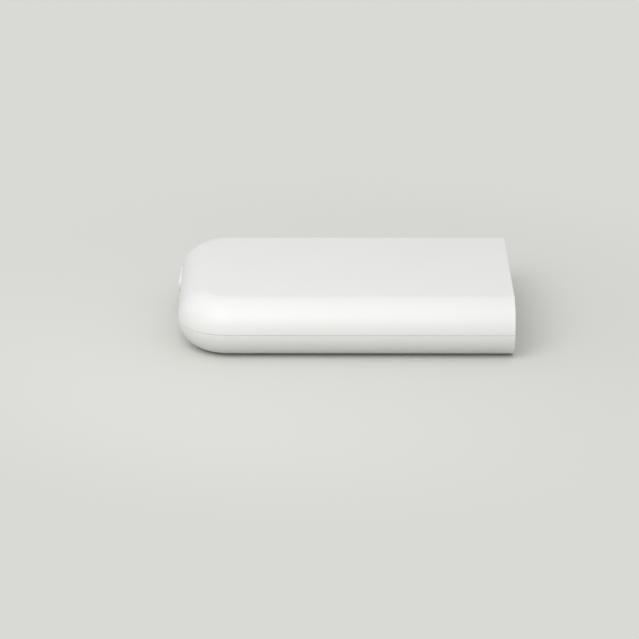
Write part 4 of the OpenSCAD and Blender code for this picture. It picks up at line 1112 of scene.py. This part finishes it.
def cells():
    """Two pouch cells with soft shoulders, a folded seal along each side and a taped front."""
    x0, y0, z0 = corner("battery", LOW)
    x1, y1, z1 = corner("battery", HIGH)
    pieces, tapes = [], []
    for ya, yb in ((y0, -CELL_GAP/2), (CELL_GAP/2, y1)):
        cell = round_upright(block((x0, ya + CELL_SIDE, z0), (x1, yb - CELL_SIDE, z1)), CELL_CORNER, 5)
        pick(cell, "FACE", lambda c, n: abs(n.z) > FLAT)
        bevel(CELL_SHOULDER, 5, clamp=False)
        seals = [block((x0 + SEAL_END, y - SEAL_HALF, z0 + SEAL_LOW),
                       (x1 - SEAL_END, y + SEAL_HALF, z1 - SEAL_HIGH), SEAL_EDGE)
                 for y in (ya + SEAL_IN, yb - SEAL_IN)]
        pieces.append(joined([cell] + seals))
        tapes.append(block((x0 - TAPE_OUT, ya + TAPE_SIDE, z1 - TAPE_DROP),
                           (x0 + TAPE_REACH, yb - TAPE_SIDE, z1 + TAPE_OUT), TAPE_EDGE, 4))
    dress(joined(pieces), "battery-part", "base", "cell_foil", "battery")
    dress(joined(tapes), "battery-tape", "base", "cable_film")


def across_y(xs, zs, spans, edge, steps=2):
    """Blocks of one section in X and Z, with their own spans in Y."""
    return joined([block((xs[0], a, zs[0]), (xs[1], b, zs[1]), edge, steps) for a, b in spans])


def battery_circuit():
    """Small protection board with three chips on its outer face, the cells' tabs and the leads' solder."""
    board = soften(block(CIRCUIT_LOW, CIRCUIT_HIGH), CIRCUIT_EDGE)
    dress(board, "battery-circuit", "base", "board_green", "battery_board")
    spans = [(y, y + w) for y, w in CIRCUIT_CHIPS]
    chips = across_y(CIRCUIT_CHIP_X, CIRCUIT_CHIP_Z, spans, CIRCUIT_CHIP_EDGE)
    dress(chips, "battery-circuit-chips", "base", "chip_black")
    tabs = across_y(CELL_TAB_X, CELL_TAB_Z, [(y, y + CELL_TAB_W) for y in CELL_TABS], CELL_TAB_EDGE)
    spans = [(y - SOLDER_HALF, y + SOLDER_HALF) for y in SOLDER_Y]
    drops = across_y(SOLDER_X, SOLDER_Z, spans, SOLDER_EDGE, steps=3)
    dress(joined([tabs, drops]), "battery-tabs", "base", "screw_steel")


# Leads

LEAD_RED_Y, LEAD_BLACK_Y, SHORT_R, LONG_R = -6.4, -4.0, 0.48, 0.42
# Place in X, share of the lead's own place in Y, and place in Z
SHORT_RUN = ((-38.7, 1, 7.5), (-37.6, 1, 7.5), (-36.3, 0.98, 7.62), (-35.0, 1, 7.48), (-33.78, 1, 7.45))
MOTOR_RED, MOTOR_BLACK = (28.2, 0.2), (29.4, -0.22)
LONG_Z, LONG_START, LONG_END = 7.8, (-38.7, -36.5), (8.4, 10.7)
WAVE_X, WAVE_STEP, WAVES, WAVE_LIFT, WAVE_TURN_Y, WAVE_TURN_Z = -33, 5.0, 8, 0.25, 1.1, 0.9


def wire(points, radius):
    """Round wire along a smooth curve through the points."""
    deselect()
    bpy.ops.curve.primitive_bezier_curve_add(location=(0, 0, 0))
    line = bpy.context.object
    line.data.splines.clear()
    run = line.data.splines.new("BEZIER")
    run.bezier_points.add(len(points) - 1)
    for spot, p in zip(run.bezier_points, points):
        spot.co = [v*MM for v in p]
        spot.handle_left_type = spot.handle_right_type = "AUTO"
    line.data.dimensions = "3D"
    line.data.bevel_depth = radius*MM
    line.data.bevel_resolution = 2
    line.data.use_fill_caps = True
    line.data.resolution_u = 8
    only(line)
    bpy.ops.object.convert(target="MESH")
    edit_all()
    bpy.ops.mesh.remove_doubles(threshold=1e-6)
    bpy.ops.mesh.normals_make_consistent(inside=False)
    object_mode()
    return bpy.context.object


def short_lead(y):
    return wire([(x, y*share, z) for x, share, z in SHORT_RUN], SHORT_R)


def long_lead(y, sway):
    """Lead from its plug to the motor, with some slack to both sides and up and down."""
    slack = [(WAVE_X + WAVE_STEP*i, y + sway*math.sin(WAVE_TURN_Y*i),
              LONG_Z + WAVE_LIFT*math.sin(WAVE_TURN_Z*i + sway)) for i in range(WAVES)]
    return wire([(x, y, LONG_Z) for x in LONG_START] + slack + [(x, y, LONG_Z) for x in LONG_END], LONG_R)


def leads():
    """Red and black leads of the battery and of the motor."""
    dress(short_lead(LEAD_RED_Y), "battery-lead-red", "base", "wire_red", "battery_leads", angle=60)
    dress(joined([short_lead(LEAD_BLACK_Y), long_lead(*MOTOR_BLACK)]), "leads-black", "base", "wire_red",
          material=finish("wire_black"), angle=60)
    dress(long_lead(*MOTOR_RED), "motor-lead-red", "base", "wire_red", "motor_leads", angle=60)


# Motor

MOTOR_AT, MOTOR_R, MOTOR_FRONT = axis_at("motor_shaft"), 5.0, 29.6
MOTOR_BACK = corner("drive_motor", LOW)[Y]
CAP_R, CAP_L, CAP_OVERLAP, CAP_EDGE = 4.7, 1.6, 0.2, 0.35
FRONT_ROLL, BACK_ROLL = 0.5, 0.15
VENT_R, VENT_STEP, VENT_Y, VENT_Z = 0.8, 1.6, 4.4, (3.6, 6)
BOSS_R, BOSS_BORE, BOSS_ROOT, BOSS_EDGE = 2.0, 0.8, 0.6, 0.15
BOSS_END = corner("drive_motor", HIGH)[Y]
LEAD_BLOCK_LOW, LEAD_BLOCK_HIGH, LEAD_BLOCK_EDGE = (10.6, 26.4, 6.4), (12.2, 29.4, 9.2), 0.2
TERMINAL_STEP, TERMINAL_HALF, TERMINAL_L, TERMINAL_H, TERMINAL_EDGE = 2.6, 0.25, 0.5, 0.9, 0.08


def motor():
    """Motor can with a rolled front, two vents and a boss, a moulded end cap and two brass terminals."""
    x, z = MOTOR_AT
    can_back = MOTOR_BACK + CAP_L
    can = rod("Y", MOTOR_AT, MOTOR_R, can_back, MOTOR_FRONT, sides=64)
    for level, width in ((MOTOR_FRONT, FRONT_ROLL), (can_back, BACK_ROLL)):
        pick(can, "EDGE", at_level(Y, level))
        bevel(width, 4, clamp=False)
    cut(can, *[rod("Z", (x + step, MOTOR_BACK + VENT_Y), VENT_R, z + VENT_Z[0], z + VENT_Z[1], sides=20)
               for step in (-VENT_STEP, VENT_STEP)])
    boss = rod("Y", MOTOR_AT, BOSS_R, MOTOR_FRONT - BOSS_ROOT, BOSS_END, edge=BOSS_EDGE, sides=40)
    cut(boss, rod("Y", MOTOR_AT, BOSS_BORE, MOTOR_FRONT - CLEAR, BOSS_END + CLEAR))
    dress(joined([can, boss]), "motor-can", "base", "motor_steel", "drive_motor")
    cap = rod("Y", MOTOR_AT, CAP_R, MOTOR_BACK, can_back + CAP_OVERLAP, edge=CAP_EDGE, sides=64, steps=3)
    lead_block = block(LEAD_BLOCK_LOW, LEAD_BLOCK_HIGH, LEAD_BLOCK_EDGE)
    dress(joined([cap, lead_block]), "motor-cap", "base", "switch_black")
    tabs = [block((mid - TERMINAL_HALF, MOTOR_BACK, z - TERMINAL_H),
                  (mid + TERMINAL_HALF, MOTOR_BACK + TERMINAL_L, z + TERMINAL_H), TERMINAL_EDGE)
            for mid in (x - TERMINAL_STEP, x + TERMINAL_STEP)]
    dress(joined(tabs), "motor-terminals", "base", "pinion_brass")


def dress_frame():
    """Gives every CAD node the finish of its slot."""
    for name, node in NODES.items():
        if SLOT_OF[name] in FINISHES:
            node.material_slots[0].material = finish(SLOT_OF[name])


bpy.context.scene.view_settings.view_transform = "Standard"
add_camera()
add_lamps()
add_floor()
dress_frame()
case_half("top_cover")
case_half("base_shell", lip=True)
button()
soft_nodes()
gear_wheels()
coil_springs()
screws()
feet()
board_pieces()
switches()
lamp()
socket_contacts()
cells()
battery_circuit()
leads()
motor()
